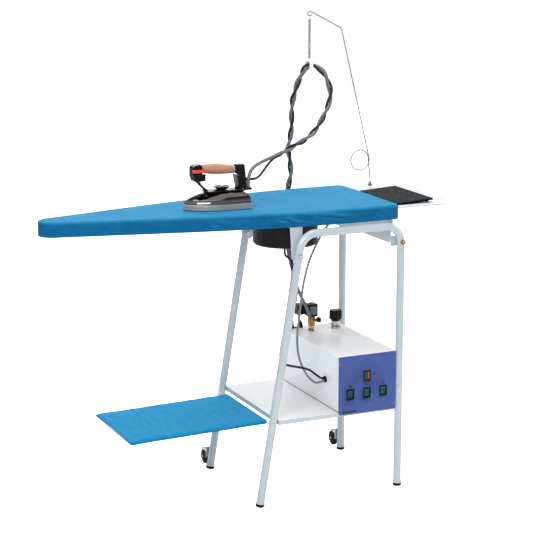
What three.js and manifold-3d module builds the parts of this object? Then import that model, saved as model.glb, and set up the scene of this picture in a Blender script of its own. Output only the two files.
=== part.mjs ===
// Professional ironing station: a vacuum board on a bent-tube stand, with a steam boiler on the
// shelf, a steam iron on the board, an iron rest, a spring hose mast and a cloth garment tray.
// Millimetres, +Z up. Station coordinates: X = 0 is the plane of the two upright legs, with the
// board's nose towards -X; Y = 0 is the front leg frame and Y = FRAME_DEPTH the back one; Z = 0 is
// the floor. The exported group is shifted so that its own origin is the middle of the footprint.
import * as THREE from "three";
import { mergeVertices } from "three/addons/utils/BufferGeometryUtils.js";
import Module from "manifold-3d";

const wasm = await Module();
wasm.setup();

// ---------------------------------------------------------------- driving dimensions
const GAP = 0.3;

const FRAME_DEPTH = 400;
const LEG_SPREAD = 484;
const LEG_LEAN = 0.168;
const TOP_TUBE_Z = 851;
const TUBE_R = 12.5;
const TUBE_WALL = 1.6;
const TUBE_BEND_R = 56;
const TUBE_START = 10;
const LEFT_BOLT_Z = 783;
const RIGHT_BOLT_Z = 799;
const BOLT_R = 4;

const SHELF_TOP = 274;
const SHELF_LIP = 15;
const SHEET = 1.5;

const WHEEL_R = 25;
const WHEEL_Z = 27;
const WHEEL_Y = FRAME_DEPTH + 50;

const BOARD_NOSE_X = -1110;
const BOARD_END_X = -2.5;
const BOARD_HALF_WIDTH = 203;
const BOARD_Y = FRAME_DEPTH / 2;
const BOARD_BOTTOM = 872;
const BOARD_TOP = 917.5;
const COVER_WALL = 3.2;
const COVER_PAD = 10;

const FAN_X = -305;
const FAN_R = 103;
const FAN_BOTTOM = 784;

const BOILER_LEFT = -220;
const BOILER_RIGHT = -18;
const BOILER_TOP = 452;
const BOILER_FRONT = -13.2;
const BOILER_BACK = 391;
const PANEL_BOTTOM = 264;
const TANK_R = 68;
const TANK_X = -119;
const TANK_Z = 362;
const SWITCH_X = [-180, -122, -64];
const SWITCH_Z = 329;
const LAMP_Z = 384;
const FILLER = [-61, 327];
const VALVE = [-150, 326];
const GROMMET = [BOILER_LEFT, 78, 359];
const IRON_GLAND = [-196, 378];
const LEAD_GLAND = [-14, 52];

const TRAY_HINGE_Z = 256;
const TRAY_NOSE_X = -890;
const TRAY_TILT = 0.022;
const TRAY_MARGIN = 45;

const REST_LEFT = 2;
const REST_Z = 904;
const REST_LENGTH = 172;
const MAT_SLOPE = 0.055;
const REST_Y = [20, 380];

const MAST = [84, 368];
const MAST_R = 1.9;
const MAST_RING = [43, 1001, 33];
const MAST_PLANE = MAST[1] - 6;
const MAST_BEND = [-31, 1436];
const MAST_TIP = [-141, 1492];

const IRON_NOSE_X = -656;
const IRON_Y = 185;
const IRON_LENGTH = 207;
const IRON_HALF_WIDTH = 62;
const SOLE_HEIGHT = 18;
const DOME_TOP = 49;
const GRIP_Z = 119.6;
const GRIP_R = 15.8;

const HOSE_R = 5.5;
const CABLE_R = 4;

const FRONT_Y = -24.4;
const BACK_Y = WHEEL_Y + WHEEL_R;
const ORIGIN_X = (BOARD_NOSE_X + REST_LEFT + REST_LENGTH) / 2;
const ORIGIN_Y = (FRONT_Y + BACK_Y) / 2;

// ---------------------------------------------------------------- materials
function finish(color, roughness, metalness) {
  return new THREE.MeshStandardMaterial({ color, roughness, metalness });
}
const WHITE_PAINT = () => finish(0xe6ecef, 0.35, 0.1);
const WHITE_SHEET = () => finish(0xf2f3f5, 0.3, 0.1);
const BLUE_CLOTH = () => finish(0x2f86c4, 0.85, 0);
const BLUE_PANEL = () => finish(0x5064a5, 0.5, 0);
const BLACK_PLASTIC = () => finish(0x17191a, 0.5, 0);
const BLACK_RUBBER = () => finish(0x1b1b1b, 0.85, 0);
const STEEL = () => finish(0xa9adb0, 0.35, 1);
const CHROME = () => finish(0xc9ccd0, 0.08, 1);
const BRASS = () => finish(0xb58a45, 0.35, 1);
const GREEN_LENS = () => finish(0x12a06a, 0.3, 0);
const CORK = () => finish(0xb98264, 0.85, 0);
const RED_PLASTIC = () => finish(0xe5452a, 0.4, 0);
const GREY_HOSE = () => finish(0x85888c, 0.6, 0);
const BLACK_CABLE = () => finish(0x1c1d1f, 0.6, 0);

// ---------------------------------------------------------------- solids
function asSolid(geometry) {
  const bare = geometry.clone();
  bare.deleteAttribute("normal");
  bare.deleteAttribute("uv");
  const merged = mergeVertices(bare, 1e-4);
  const source = merged.index.array;
  const kept = [];
  for (let i = 0; i < source.length; i += 3) {
    const [a, b, c] = [source[i], source[i + 1], source[i + 2]];
    if (a !== b && b !== c && a !== c) kept.push(a, b, c);
  }
  const vertProperties = new Float32Array(merged.attributes.position.array);
  const triVerts = new Uint32Array(kept);
  return new wasm.Manifold(new wasm.Mesh({ numProp: 3, vertProperties, triVerts }));
}

function asGeometry(solid) {
  const mesh = solid.getMesh();
  const geometry = new THREE.BufferGeometry();
  geometry.setAttribute("position", new THREE.BufferAttribute(mesh.vertProperties, 3));
  geometry.setIndex(new THREE.BufferAttribute(mesh.triVerts, 1));
  return geometry;
}

function join(...pieces) {
  return asGeometry(pieces.map(asSolid).reduce((sum, piece) => sum.add(piece)));
}

function cut(base, ...tools) {
  return asGeometry(tools.map(asSolid).reduce((rest, tool) => rest.subtract(tool), asSolid(base)));
}

// Turns a closed surface's faces outwards, whichever way its outline ran.
function outward(geometry) {
  const flat = geometry.index ? geometry.toNonIndexed() : geometry;
  const p = flat.attributes.position.array;
  let volume = 0;
  for (let i = 0; i < p.length; i += 9) {
    volume += p[i] * (p[i + 4] * p[i + 8] - p[i + 5] * p[i + 7]);
    volume += p[i + 1] * (p[i + 5] * p[i + 6] - p[i + 3] * p[i + 8]);
    volume += p[i + 2] * (p[i + 3] * p[i + 7] - p[i + 4] * p[i + 6]);
  }
  if (volume < 0) {
    for (let i = 0; i < p.length; i += 9) {
      for (let k = 0; k < 3; k += 1) [p[i + 3 + k], p[i + 6 + k]] = [p[i + 6 + k], p[i + 3 + k]];
    }
  }
  return flat;
}

function block([x0, x1], [y0, y1], [z0, z1]) {
  const box = new THREE.BoxGeometry(x1 - x0, y1 - y0, z1 - z0);
  return box.translate((x0 + x1) / 2, (y0 + y1) / 2, (z0 + z1) / 2);
}

// A round bar between two points.
function rod(start, end, radius, sides = 16) {
  const from = new THREE.Vector3(...start);
  const to = new THREE.Vector3(...end);
  const along = to.clone().sub(from);
  const bar = new THREE.CylinderGeometry(radius, radius, along.length(), sides);
  const turn = new THREE.Quaternion().setFromUnitVectors(new THREE.Vector3(0, 1, 0), along.normalize());
  bar.applyQuaternion(turn);
  return bar.translate((from.x + to.x) / 2, (from.y + to.y) / 2, (from.z + to.z) / 2);
}

// A turned part about +Z. The profile is a list of [radius, height].
function turned(profile, sides = 24) {
  const points = profile.map(([r, z]) => new THREE.Vector2(r, z));
  return outward(new THREE.LatheGeometry(points, sides).rotateX(Math.PI / 2));
}

// A flat plate: an outline in XY, raised along +Z.
function slab(shape, thickness, curveSegments = 6) {
  return new THREE.ExtrudeGeometry(shape, { depth: thickness, bevelEnabled: false, curveSegments });
}

// The same outline standing up: its X along X, its Y along Z, and the thickness along +Y.
function wall(shape, thickness, curveSegments = 6) {
  return slab(shape, thickness, curveSegments).rotateX(Math.PI / 2).translate(0, thickness, 0);
}

// The same outline seen from the side: its X along Y, its Y along Z, and the thickness along +X.
function sideWall(shape, thickness, curveSegments = 6) {
  return slab(shape, thickness, curveSegments).rotateX(Math.PI / 2).rotateZ(Math.PI / 2);
}

function polygon(points) {
  return new THREE.Shape(points.map(([x, y]) => new THREE.Vector2(x, y)));
}

// A path through given points, one step from each point to the next.
class PointPath extends THREE.Curve {
  constructor(points) {
    super();
    this.points = points;
  }

  getPoint(t, target = new THREE.Vector3()) {
    const last = this.points.length - 1;
    const place = Math.min(Math.max(t, 0), 1) * last;
    const i = Math.min(Math.floor(place), last - 1);
    return target.lerpVectors(this.points[i], this.points[i + 1], place - i);
  }

  getUtoTmapping(u) {
    return u;
  }
}

// Straight runs between the corners, with each inner corner rounded to the bend radius.
function bent(corners, radius, steps = 6) {
  const at = corners.map((corner) => new THREE.Vector3(...corner));
  const points = [at[0]];
  for (let i = 1; i < at.length - 1; i += 1) {
    const into = at[i - 1].clone().sub(at[i]).normalize();
    const out = at[i + 1].clone().sub(at[i]).normalize();
    const half = into.angleTo(out) / 2;
    const reach = radius / Math.tan(half);
    const start = at[i].clone().addScaledVector(into, reach);
    const middle = into.clone().add(out).normalize();
    const centre = at[i].clone().addScaledVector(middle, radius / Math.sin(half));
    const arm = start.clone().sub(centre);
    const axis = arm.clone().cross(at[i].clone().addScaledVector(out, reach).sub(centre)).normalize();
    for (let k = 0; k <= steps; k += 1) {
      const turn = ((Math.PI - 2 * half) * k) / steps;
      points.push(arm.clone().applyAxisAngle(axis, turn).add(centre));
    }
  }
  points.push(at[at.length - 1]);
  return points;
}

// A smooth line through a few chosen points, with a given number of steps.
function smooth(places, steps) {
  const curve = new THREE.CatmullRomCurve3(places.map((p) => new THREE.Vector3(...p)), false, "centripetal");
  return curve.getSpacedPoints(steps);
}

function tube(points, radius, sides = 12, boreRadius = 0) {
  const ring = new THREE.Shape();
  ring.absarc(0, 0, radius, 0, 2 * Math.PI);
  if (boreRadius > 0) {
    const bore = new THREE.Path();
    bore.absarc(0, 0, boreRadius, 0, 2 * Math.PI, true);
    ring.holes.push(bore);
  }
  const extrudePath = new PointPath(points);
  return outward(new THREE.ExtrudeGeometry(ring, {
    steps: points.length - 1,
    curveSegments: sides / 2,
    extrudePath,
  }));
}

// A solid through a stack of matching closed outlines, each a list of points at one height.
function lofted(rings) {
  const count = rings[0].length;
  const positions = rings.flat().flatMap((p) => [p.x, p.y, p.z]);
  const faces = [];
  for (let level = 0; level < rings.length - 1; level += 1) {
    for (let i = 0; i < count; i += 1) {
      const a = level * count + i;
      const b = level * count + ((i + 1) % count);
      faces.push(a, b, b + count, a, b + count, a + count);
    }
  }
  const outline = rings[0].map((p) => new THREE.Vector2(p.x, p.y));
  const top = (rings.length - 1) * count;
  for (const [a, b, c] of THREE.ShapeUtils.triangulateShape(outline, [])) {
    faces.push(a, c, b, top + a, top + b, top + c);
  }
  const geometry = new THREE.BufferGeometry();
  geometry.setAttribute("position", new THREE.Float32BufferAttribute(positions, 3));
  geometry.setIndex(faces);
  return outward(geometry);
}

const group = new THREE.Group();
group.position.set(-ORIGIN_X, -ORIGIN_Y, 0);

function part(name, geometry, material, parent = group) {
  const mesh = new THREE.Mesh(geometry, material);
  mesh.name = name;
  parent.add(mesh);
  return mesh;
}

function subgroup(x, y, z, parent = group) {
  const place = new THREE.Group();
  place.position.set(x, y, z);
  parent.add(place);
  return place;
}

// ---------------------------------------------------------------- stand
const leanAt = (z) => -LEG_SPREAD + LEG_LEAN * z;
const LEFT_BOLT_X = leanAt(LEFT_BOLT_Z);
const HINGE_BAR_R = 3;

function legFrame(innerSide) {
  const path = bent([
    [leanAt(TUBE_START), 0, TUBE_START],
    [leanAt(TOP_TUBE_Z), 0, TOP_TUBE_Z],
    [0, 0, TOP_TUBE_Z],
    [0, 0, TUBE_START],
  ], TUBE_BEND_R, 4);
  const boltHole = (x, z) => rod([x, -30, z], [x, 30, z], BOLT_R + GAP, 12);
  const hingeX = leanAt(TRAY_HINGE_Z);
  const holeEnds = [0, innerSide * 30].map((y) => [hingeX, y, TRAY_HINGE_Z]);
  const hingeHole = rod(...holeEnds, HINGE_BAR_R + 0.4, 12);
  return cut(
    tube(path, TUBE_R, 10, TUBE_R - TUBE_WALL),
    boltHole(LEFT_BOLT_X, LEFT_BOLT_Z),
    boltHole(0, RIGHT_BOLT_Z),
    hingeHole,
  );
}

part("front_leg_frame", legFrame(1), WHITE_PAINT());
part("back_leg_frame", legFrame(-1), WHITE_PAINT()).position.y = FRAME_DEPTH;

// A rubber foot: a low cap under the tube's end and a plug inside it, cut flat on the floor.
function legFoot(lean) {
  const cap = turned([
    [0, -8], [13.8, -8], [13.8, 8], [13, 9.6], [10, 9.6], [10, 34], [0, 34],
  ], 20).rotateY(Math.atan(lean));
  return cut(cap, block([-60, 60], [-60, 60], [-40, 0]));
}

for (const [end, y] of [["front", 0], ["back", FRAME_DEPTH]]) {
  part(`${end}_left_foot`, legFoot(LEG_LEAN), BLACK_RUBBER()).position.set(-LEG_SPREAD, y, 0);
  part(`${end}_right_foot`, legFoot(0), BLACK_RUBBER()).position.set(0, y, 0);
}

// The bolt runs through the leg and its bracket, with a domed nut outside and a hex head inside.
function legBolt(outside) {
  const nut = turned([[0, 12.8], [8, 12.8], [8, 17.5], [7.2, 21], [4.8, 23.4], [0, 24.4]], 12);
  const shank = rod([0, 0, -18], [0, 0, 14], BOLT_R, 12);
  const head = turned([[0, -21], [7, -21], [7, -16], [0, -16]], 6);
  return join(nut, shank, head).rotateX(outside * Math.PI / 2);
}

for (const [end, y, outside] of [["front", 0, 1], ["back", FRAME_DEPTH, -1]]) {
  part(`${end}_left_bolt`, legBolt(outside), BRASS()).position.set(LEFT_BOLT_X, y, LEFT_BOLT_Z);
  part(`${end}_right_bolt`, legBolt(outside), BRASS()).position.set(0, y, RIGHT_BOLT_Z);
}

// A sheet ear behind the left leg, turned over at the top to carry the board.
function boardBracket() {
  const left = LEFT_BOLT_X - 24;
  const right = LEFT_BOLT_X + 18;
  const foot = LEFT_BOLT_Z - 16;
  const ear = wall(polygon([
    [left, BOARD_BOTTOM - 0.5], [left + 6, foot + 6], [left + 12, foot], [right - 6, foot],
    [right, foot + 8], [right, BOARD_BOTTOM - 0.5],
  ]), SHEET).translate(0, TUBE_R + GAP, 0);
  const seat = block([left, right], [TUBE_R + GAP, 46], [BOARD_BOTTOM - 0.5 - SHEET, BOARD_BOTTOM - 0.5]);
  const holeEnds = [0, 30].map((y) => [LEFT_BOLT_X, y, LEFT_BOLT_Z]);
  return cut(join(ear, seat), rod(...holeEnds, BOLT_R + GAP, 12));
}

part("front_left_bracket", boardBracket(), WHITE_PAINT());
const backBracket = boardBracket().applyMatrix4(new THREE.Matrix4().makeScale(1, -1, 1));
part("back_left_bracket", outward(backBracket.translate(0, FRAME_DEPTH, 0)), WHITE_PAINT());

// The channel between the upright legs: a web, a top flange under the board and two end ears.
function crossBeam() {
  const near = TUBE_R + GAP;
  const far = FRAME_DEPTH - near;
  const webX = -30;
  const foot = 793;
  const top = BOARD_BOTTOM - 0.5;
  const web = sideWall(polygon([
    [near, foot + 10], [near + 10, foot], [far - 10, foot], [far, foot + 10], [far, top], [near, top],
  ]), SHEET).translate(webX, 0, 0);
  const flange = block([webX, -4.5], [near, far], [top - SHEET, top]);
  const ear = (y0) => block([webX, 11], [y0, y0 + SHEET], [foot - 9, foot + 24]);
  const hole = rod([0, -20, RIGHT_BOLT_Z], [0, FRAME_DEPTH + 20, RIGHT_BOLT_Z], BOLT_R + GAP, 12);
  return cut(join(web, flange, ear(near), ear(far - SHEET)), hole);
}

part("right_crossbeam", crossBeam(), WHITE_PAINT());

function shelf() {
  const [left, right] = [-424, -13.5];
  const [front, back] = [-TUBE_R, FRAME_DEPTH + TUBE_R];
  const hollow = block(
    [left + SHEET, right - SHEET],
    [front + SHEET, back - SHEET],
    [SHELF_TOP - SHELF_LIP - 5, SHELF_TOP - SHEET],
  );
  return cut(block([left, right], [front, back], [SHELF_TOP - SHELF_LIP, SHELF_TOP]), hollow);
}

part("lower_shelf", shelf(), WHITE_SHEET());

// ---------------------------------------------------------------- wheels behind the back legs
// A bracket on the leg: a plate over the wheel, and one cheek beside it that holds the axle.
function castorFork() {
  const back = FRAME_DEPTH + TUBE_R + GAP;
  const hood = WHEEL_Z + WHEEL_R + 2.5;
  const side = polygon([
    [back, hood + 16], [back + 3, hood + 16], [back + 9, hood + 5],
    [WHEEL_Y + 6, hood + 2], [WHEEL_Y + 8, hood - 4],
    [WHEEL_Y + 7, 20], [WHEEL_Y - 7, 16], [back + 6, 30], [back, 34],
  ]);
  const cheek = 12.5;
  const body = sideWall(side, 2 * cheek).translate(-cheek, 0, 0);
  const wheelSpace = block([-cheek - 2, cheek - 1.5], [back + 3, WHEEL_Y + 60], [-10, hood]);
  const axle = rod([-10.5, WHEEL_Y, WHEEL_Z], [14, WHEEL_Y, WHEEL_Z], 3, 12);
  return join(cut(body, wheelSpace), axle);
}

function castorWheel() {
  const profile = [
    [3.4, -10], [10, -10], [10, -8], [22, -8], [WHEEL_R, -5], [WHEEL_R, 5], [22, 8], [10, 8], [10, 10],
    [3.4, 10], [3.4, -10],
  ];
  return turned(profile, 20).rotateY(Math.PI / 2);
}

for (const [side, x] of [["left", -LEG_SPREAD + 4], ["right", -3]]) {
  part(`${side}_castor_fork`, castorFork(), WHITE_PAINT()).position.set(x, 0, 0);
  part(`${side}_wheel`, castorWheel(), BLACK_RUBBER()).position.set(x, WHEEL_Y, WHEEL_Z);
}

// ---------------------------------------------------------------- garment tray, hinged in the left legs
const HINGE_X = leanAt(TRAY_HINGE_Z);
const tray = subgroup(HINGE_X, 0, TRAY_HINGE_Z);
const TRAY_REACH = HINGE_X - TRAY_NOSE_X;
const trayArms = bent([
  [0, TRAY_MARGIN, 0],
  [-TRAY_REACH, TRAY_MARGIN, 0],
  [-TRAY_REACH, FRAME_DEPTH - TRAY_MARGIN, 0],
  [0, FRAME_DEPTH - TRAY_MARGIN, 0],
], 14, 4);
tray.rotation.y = -TRAY_TILT;

function trayFrame() {
  const hingeBar = rod([0, 7, 0], [0, FRAME_DEPTH - 7, 0], HINGE_BAR_R, 12);
  return join(tube(trayArms, HINGE_BAR_R, 8), hingeBar);
}

// The stuffed cloth is sewn round the wire on three sides and round the hinge bar on the fourth.
function trayCloth() {
  const sleeve = block([-TRAY_REACH - 6, 8], [TRAY_MARGIN - 7, FRAME_DEPTH - TRAY_MARGIN + 7], [-7.5, 7.5]);
  const barTunnel = rod([0, 0, 0], [0, FRAME_DEPTH, 0], HINGE_BAR_R + 0.5, 12);
  return cut(sleeve, tube(trayArms, HINGE_BAR_R + 0.5, 8), barTunnel);
}

part("tray_frame", trayFrame(), STEEL(), tray);
part("tray_cloth", trayCloth(), BLUE_CLOTH(), tray);

// ---------------------------------------------------------------- boiler
const boilerFloor = SHELF_TOP + 0.5;

function boilerCover() {
  const outer = block([BOILER_LEFT, BOILER_RIGHT], [BOILER_FRONT, BOILER_BACK], [boilerFloor, BOILER_TOP]);
  const inner = block(
    [BOILER_LEFT + SHEET, BOILER_RIGHT - SHEET],
    [BOILER_FRONT - 5, BOILER_BACK + 5],
    [boilerFloor - 5, BOILER_TOP - SHEET],
  );
  const topHole = (x, y, r) => rod([x, y, BOILER_TOP - 10], [x, y, BOILER_TOP + 10], r, 20);
  return cut(
    outer,
    inner,
    topHole(...FILLER, 13),
    topHole(...VALVE, 9),
    topHole(VALVE[0] + LEAD_GLAND[0], VALVE[1] + LEAD_GLAND[1], 7),
    topHole(...IRON_GLAND, 7),
    rod([GROMMET[0] - 10, GROMMET[1], GROMMET[2]], [GROMMET[0] + 10, GROMMET[1], GROMMET[2]], 8, 20),
  );
}

function boilerBase() {
  const left = BOILER_LEFT + SHEET + GAP;
  const right = BOILER_RIGHT - SHEET - GAP;
  const bottom = block([left, right], [BOILER_FRONT + 1, BOILER_BACK], [boilerFloor, boilerFloor + SHEET]);
  const top = BOILER_TOP - SHEET - GAP;
  const back = block([left, right], [BOILER_BACK - SHEET, BOILER_BACK], [boilerFloor, top]);
  const inlet = rod([-60, BOILER_BACK - 10, 300], [-60, BOILER_BACK + 10, 300], 9, 16);
  const cradle = (y) => cut(
    block([TANK_X - 50, TANK_X + 50], [y, y + 4], [boilerFloor + 1, TANK_Z - 30]),
    rod([TANK_X, y - 5, TANK_Z], [TANK_X, y + 9, TANK_Z], TANK_R + 1, 32),
  );
  return join(cut(join(bottom, back), inlet), cradle(110), cradle(285));
}

const PANEL_FACE = BOILER_FRONT - 2.3;
const bezelSize = [25.5, 34];

function window(x, z, width, height, y0, y1) {
  return block([x - width / 2, x + width / 2], [y0, y1], [z - height / 2, z + height / 2]);
}

function controlPanel() {
  const [left, right] = [BOILER_LEFT - 0.7, BOILER_RIGHT - 0.7];
  const chamfer = 7;
  const plate = wall(polygon([
    [left + chamfer, PANEL_BOTTOM], [right, PANEL_BOTTOM], [right, BOILER_TOP + 0.5],
    [left, BOILER_TOP + 0.5], [left, PANEL_BOTTOM + chamfer],
  ]), 2).translate(0, PANEL_FACE, 0);
  const bezels = SWITCH_X.map((x) => window(x, SWITCH_Z, ...bezelSize, PANEL_FACE - 2.2, PANEL_FACE + 1));
  const housings = SWITCH_X.map((x) => window(x, SWITCH_Z, 23.5, 31.5, PANEL_FACE + 1, PANEL_FACE + 20));
  const wells = SWITCH_X.map((x) => window(x, SWITCH_Z, 20.4, 28.8, PANEL_FACE - 5, PANEL_FACE + 17));
  const lampHole = window(SWITCH_X[1], LAMP_Z, 21.6, 29.6, PANEL_FACE - 5, PANEL_FACE + 5);
  return cut(join(plate, ...bezels, ...housings), ...wells, lampHole);
}

// A rocker is drawn level about its own axle, with a shallow valley across its face.
const ROCKER_TILT = (7 * Math.PI) / 180;

function rocker() {
  const side = polygon([[5, -9], [-5.2, -13], [-3.6, 0], [-5.2, 13], [5, 9]]);
  return sideWall(side, 19.4, 2).translate(-9.7, 0, 0);
}

function indicatorLamp() {
  const bezel = window(0, 0, ...bezelSize, -2.2, -GAP);
  const body = window(0, 0, 21, 29, -1, 16);
  const pit = (x) => window(x, 0, 8.6, 25, -5, -1.2);
  return cut(join(bezel, body), pit(-5), pit(5));
}

part("boiler_cover", boilerCover(), WHITE_SHEET());
part("boiler_base", boilerBase(), WHITE_SHEET());
part("control_panel", controlPanel(), BLUE_PANEL());
SWITCH_X.forEach((x, i) => {
  const key = part(`rocker_switch_${i + 1}`, rocker(), GREEN_LENS());
  key.position.set(x, PANEL_FACE + 5, SWITCH_Z);
  key.rotation.x = ROCKER_TILT;
});
part("indicator_lamp", indicatorLamp(), BLACK_PLASTIC()).position.set(SWITCH_X[1], PANEL_FACE, LAMP_Z);

const [TANK_FRONT, TANK_BACK] = [62, 352];

// The pressure vessel lies along Y, with an open neck at the front for the heating element.
function boilerTank() {
  const length = TANK_BACK - TANK_FRONT;
  const shell = turned([
    [26, 0], [58, 0], [TANK_R, 10], [TANK_R, length - 18], [50, length - 4], [0, length],
    [0, length - 2], [49, length - 6], [TANK_R - 2, length - 19], [TANK_R - 2, 11], [57, 2], [26, 2], [26, 0],
  ], 24).rotateX(-Math.PI / 2).translate(TANK_X, TANK_FRONT, TANK_Z);
  const port = (x, y, r) => rod([x, y, TANK_Z + 20], [x, y, BOILER_TOP], r, 16);
  return cut(shell, port(...FILLER, 9), port(...VALVE, 4));
}

function heatingElement() {
  const loop = bent([[-14, 8, 0], [-14, 230, 0], [14, 230, 0], [14, 8, 0]], 13.5, 4);
  const flange = rod([0, -GAP - 6, 0], [0, -GAP, 0], 36, 24);
  const neck = rod([0, -GAP - 1, 0], [0, 9, 0], 25.5, 24);
  const terminals = [-12, 12].map((x) => rod([x, -20, 0], [x, -5, 0], 3, 8));
  return join(flange, neck, tube(loop, 4, 8), ...terminals).translate(TANK_X, TANK_FRONT, TANK_Z);
}

const tankClearance = rod([TANK_X, 0, TANK_Z], [TANK_X, 400, TANK_Z], TANK_R + 0.5, 24);

function fillerNeck() {
  const neck = turned([
    [9.4, 380], [12, 380], [12, BOILER_TOP + 0.6], [18, BOILER_TOP + 0.6], [18, BOILER_TOP + 5],
    [14.5, BOILER_TOP + 5], [14.5, BOILER_TOP + 10.5], [9.4, BOILER_TOP + 10.5], [9.4, 380],
  ], 16).translate(...FILLER, 0);
  return cut(neck, tankClearance);
}

part("boiler_tank", boilerTank(), STEEL());
part("heating_element", heatingElement(), STEEL());
part("filler_neck", fillerNeck(), BRASS());

// The safety cap: a steel plug in the neck, and a ribbed grip that turns on top of it.
const PLUG_TOP = BOILER_TOP + 25;
part("filler_plug", turned([
  [0, BOILER_TOP - 12], [9, BOILER_TOP - 12], [9, BOILER_TOP + 11], [14.7, BOILER_TOP + 11],
  [14.7, PLUG_TOP], [8, PLUG_TOP], [8, PLUG_TOP + 22], [0, PLUG_TOP + 22],
], 20), STEEL()).position.set(...FILLER, 0);

function fillerGrip() {
  const ribs = 18;
  const outline = [];
  for (let i = 0; i < ribs * 2; i += 1) {
    const radius = i % 2 ? 21 : 19.4;
    const angle = (i * Math.PI) / ribs;
    outline.push([radius * Math.cos(angle), radius * Math.sin(angle)]);
  }
  const grip = slab(polygon(outline), 31).translate(0, 0, PLUG_TOP + 6);
  const skirt = turned([[0, 0], [15, 0], [19, 6.5], [0, 6.5]], 24).translate(0, 0, PLUG_TOP + GAP);
  const bore = rod([0, 0, PLUG_TOP - 5], [0, 0, PLUG_TOP + 23], 8.4, 20);
  return cut(join(grip, skirt), bore);
}

part("filler_grip", fillerGrip(), BLACK_PLASTIC()).position.set(...FILLER, 0);

// ---------------------------------------------------------------- steam valve on the boiler
const valve = subgroup(...VALVE, BOILER_TOP);
const COIL_BOTTOM = 49;
const KNOB_AXIS = new THREE.Vector3(0.62, -0.75, 0.22).normalize();
const KNOB_ROOT = new THREE.Vector3(0, 0, 33);
const along = (distance) => KNOB_AXIS.clone().multiplyScalar(distance).add(KNOB_ROOT).toArray();
const HOSE_TAIL = [[-4, -6, 28], [-14, -21.5, 41]];

function valveBody() {
  const bore = [[5, COIL_BOTTOM + 41], [5, COIL_BOTTOM + 1], [2.6, COIL_BOTTOM + 1], [2.6, -40]];
  const shell = turned([
    [2.6, -40], [8, -40], [8, 17], [12, 19], [12.5, 30], [12, COIL_BOTTOM - 2], [10, COIL_BOTTOM - GAP],
    [6.8, COIL_BOTTOM - GAP], [6.8, COIL_BOTTOM + 46], [0, COIL_BOTTOM + 46], [0, COIL_BOTTOM + 41], ...bore,
  ], 16);
  const lowerNut = turned([[0, 0.6], [11.5, 0.6], [11.5, 6.5], [0, 6.5]], 6);
  const upperNut = turned([[0, 11], [11.5, 11], [11.5, 17], [0, 17]], 6);
  const knobStem = join(rod(along(8), along(20), 5.5, 12), rod(along(15), along(30), 3, 12));
  const hoseTail = rod(...HOSE_TAIL, 5.5, 12);
  const core = rod([0, 0, -45], [0, 0, COIL_BOTTOM + 2], 2.6, 8);
  const chamber = rod([0, 0, COIL_BOTTOM + 1], [0, 0, COIL_BOTTOM + 41], 5, 16);
  const body = cut(join(shell, lowerNut, upperNut, knobStem, hoseTail), core, chamber);
  return cut(body, tankClearance.clone().translate(-VALVE[0], -VALVE[1], -BOILER_TOP));
}

function valveCoil() {
  const coil = block([-8.5, 24.5], [-16, 16], [COIL_BOTTOM, COIL_BOTTOM + 43]);
  return cut(coil.translate(-8, 0, 0), rod([0, 0, COIL_BOTTOM - 5], [0, 0, COIL_BOTTOM + 50], 7.1, 20));
}

function valveKnob() {
  const knob = turned([
    [0, 0], [6, 0], [9.5, 2], [9.5, 9], [8, 11.5], [0, 12.5],
  ], 20);
  const turn = new THREE.Quaternion().setFromUnitVectors(new THREE.Vector3(0, 0, 1), KNOB_AXIS);
  const placed = knob.applyQuaternion(turn).translate(...along(21.5));
  return cut(placed, rod(along(10), along(31), 3.4, 12));
}

// A tapered rubber gland for a cable that comes up through the boiler's top.
function cableGland() {
  return turned([[0, -6], [6.5, -6], [6.5, 0.5], [8, 0.5], [8, 4], [5.5, 19], [0, 19]], 12);
}

// The coil's plug with its short moulded lead down to a twin gland, which the iron's cable shares.
function coilConnector() {
  const plug = block([-56, -17], [-13, 13], [COIL_BOTTOM + 11, COIL_BOTTOM + 46]);
  const lead = tube(smooth([
    [-40, 4, COIL_BOTTOM + 15], [-39, 8, 48], [-34, 22, 38], [-26, 38, 31], [-18, 48, 24], [-14, 52, 12],
  ], 12), 3.2, 8);
  const [farX, farY] = [IRON_GLAND[0] - VALVE[0], IRON_GLAND[1] - VALVE[1]];
  const strip = block([farX, LEAD_GLAND[0]], [farY - 4, farY + 4], [0.5, 4]);
  const glands = [cableGland().translate(...LEAD_GLAND, 0), cableGland().translate(farX, farY, 0)];
  return join(plug, lead, strip, ...glands);
}

part("valve_body", valveBody(), BRASS(), valve);
part("valve_coil", valveCoil(), BLACK_PLASTIC(), valve);
part("valve_armature", turned([
  [0, COIL_BOTTOM + 2], [4.6, COIL_BOTTOM + 2], [4.6, COIL_BOTTOM + 36], [0, COIL_BOTTOM + 36],
], 16), STEEL(), valve);
part("valve_knob", valveKnob(), BLACK_PLASTIC(), valve);
part("coil_connector", coilConnector(), BLACK_PLASTIC(), valve);

part("side_grommet", turned([
  [0, -6], [10, -6], [10, -GAP], [7.6, -GAP], [7.6, SHEET + GAP], [9.5, SHEET + GAP], [9.5, 5], [0, 5],
], 20).rotateY(Math.PI / 2), BLACK_RUBBER()).position.set(...GROMMET);

// ---------------------------------------------------------------- vacuum fan under the board
const fan = subgroup(FAN_X, BOARD_Y, FAN_BOTTOM);
const FAN_HEIGHT = BOARD_BOTTOM - 0.6 - FAN_BOTTOM;

part("fan_housing", turned([
  [34, 0], [98, 0], [FAN_R, 5], [FAN_R, FAN_HEIGHT], [FAN_R - 2, FAN_HEIGHT], [FAN_R - 2, 6],
  [97, 2], [34, 2], [34, 0],
], 32), BLACK_PLASTIC(), fan);

part("fan_motor", turned([
  [0, 0.4], [33.6, 0.4], [33.6, 2.4], [40, 2.4], [40, 5], [33, 5],
  [33, 26], [28, 31], [4.4, 31], [4.4, 20], [0, 20],
], 24), STEEL(), fan);

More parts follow.
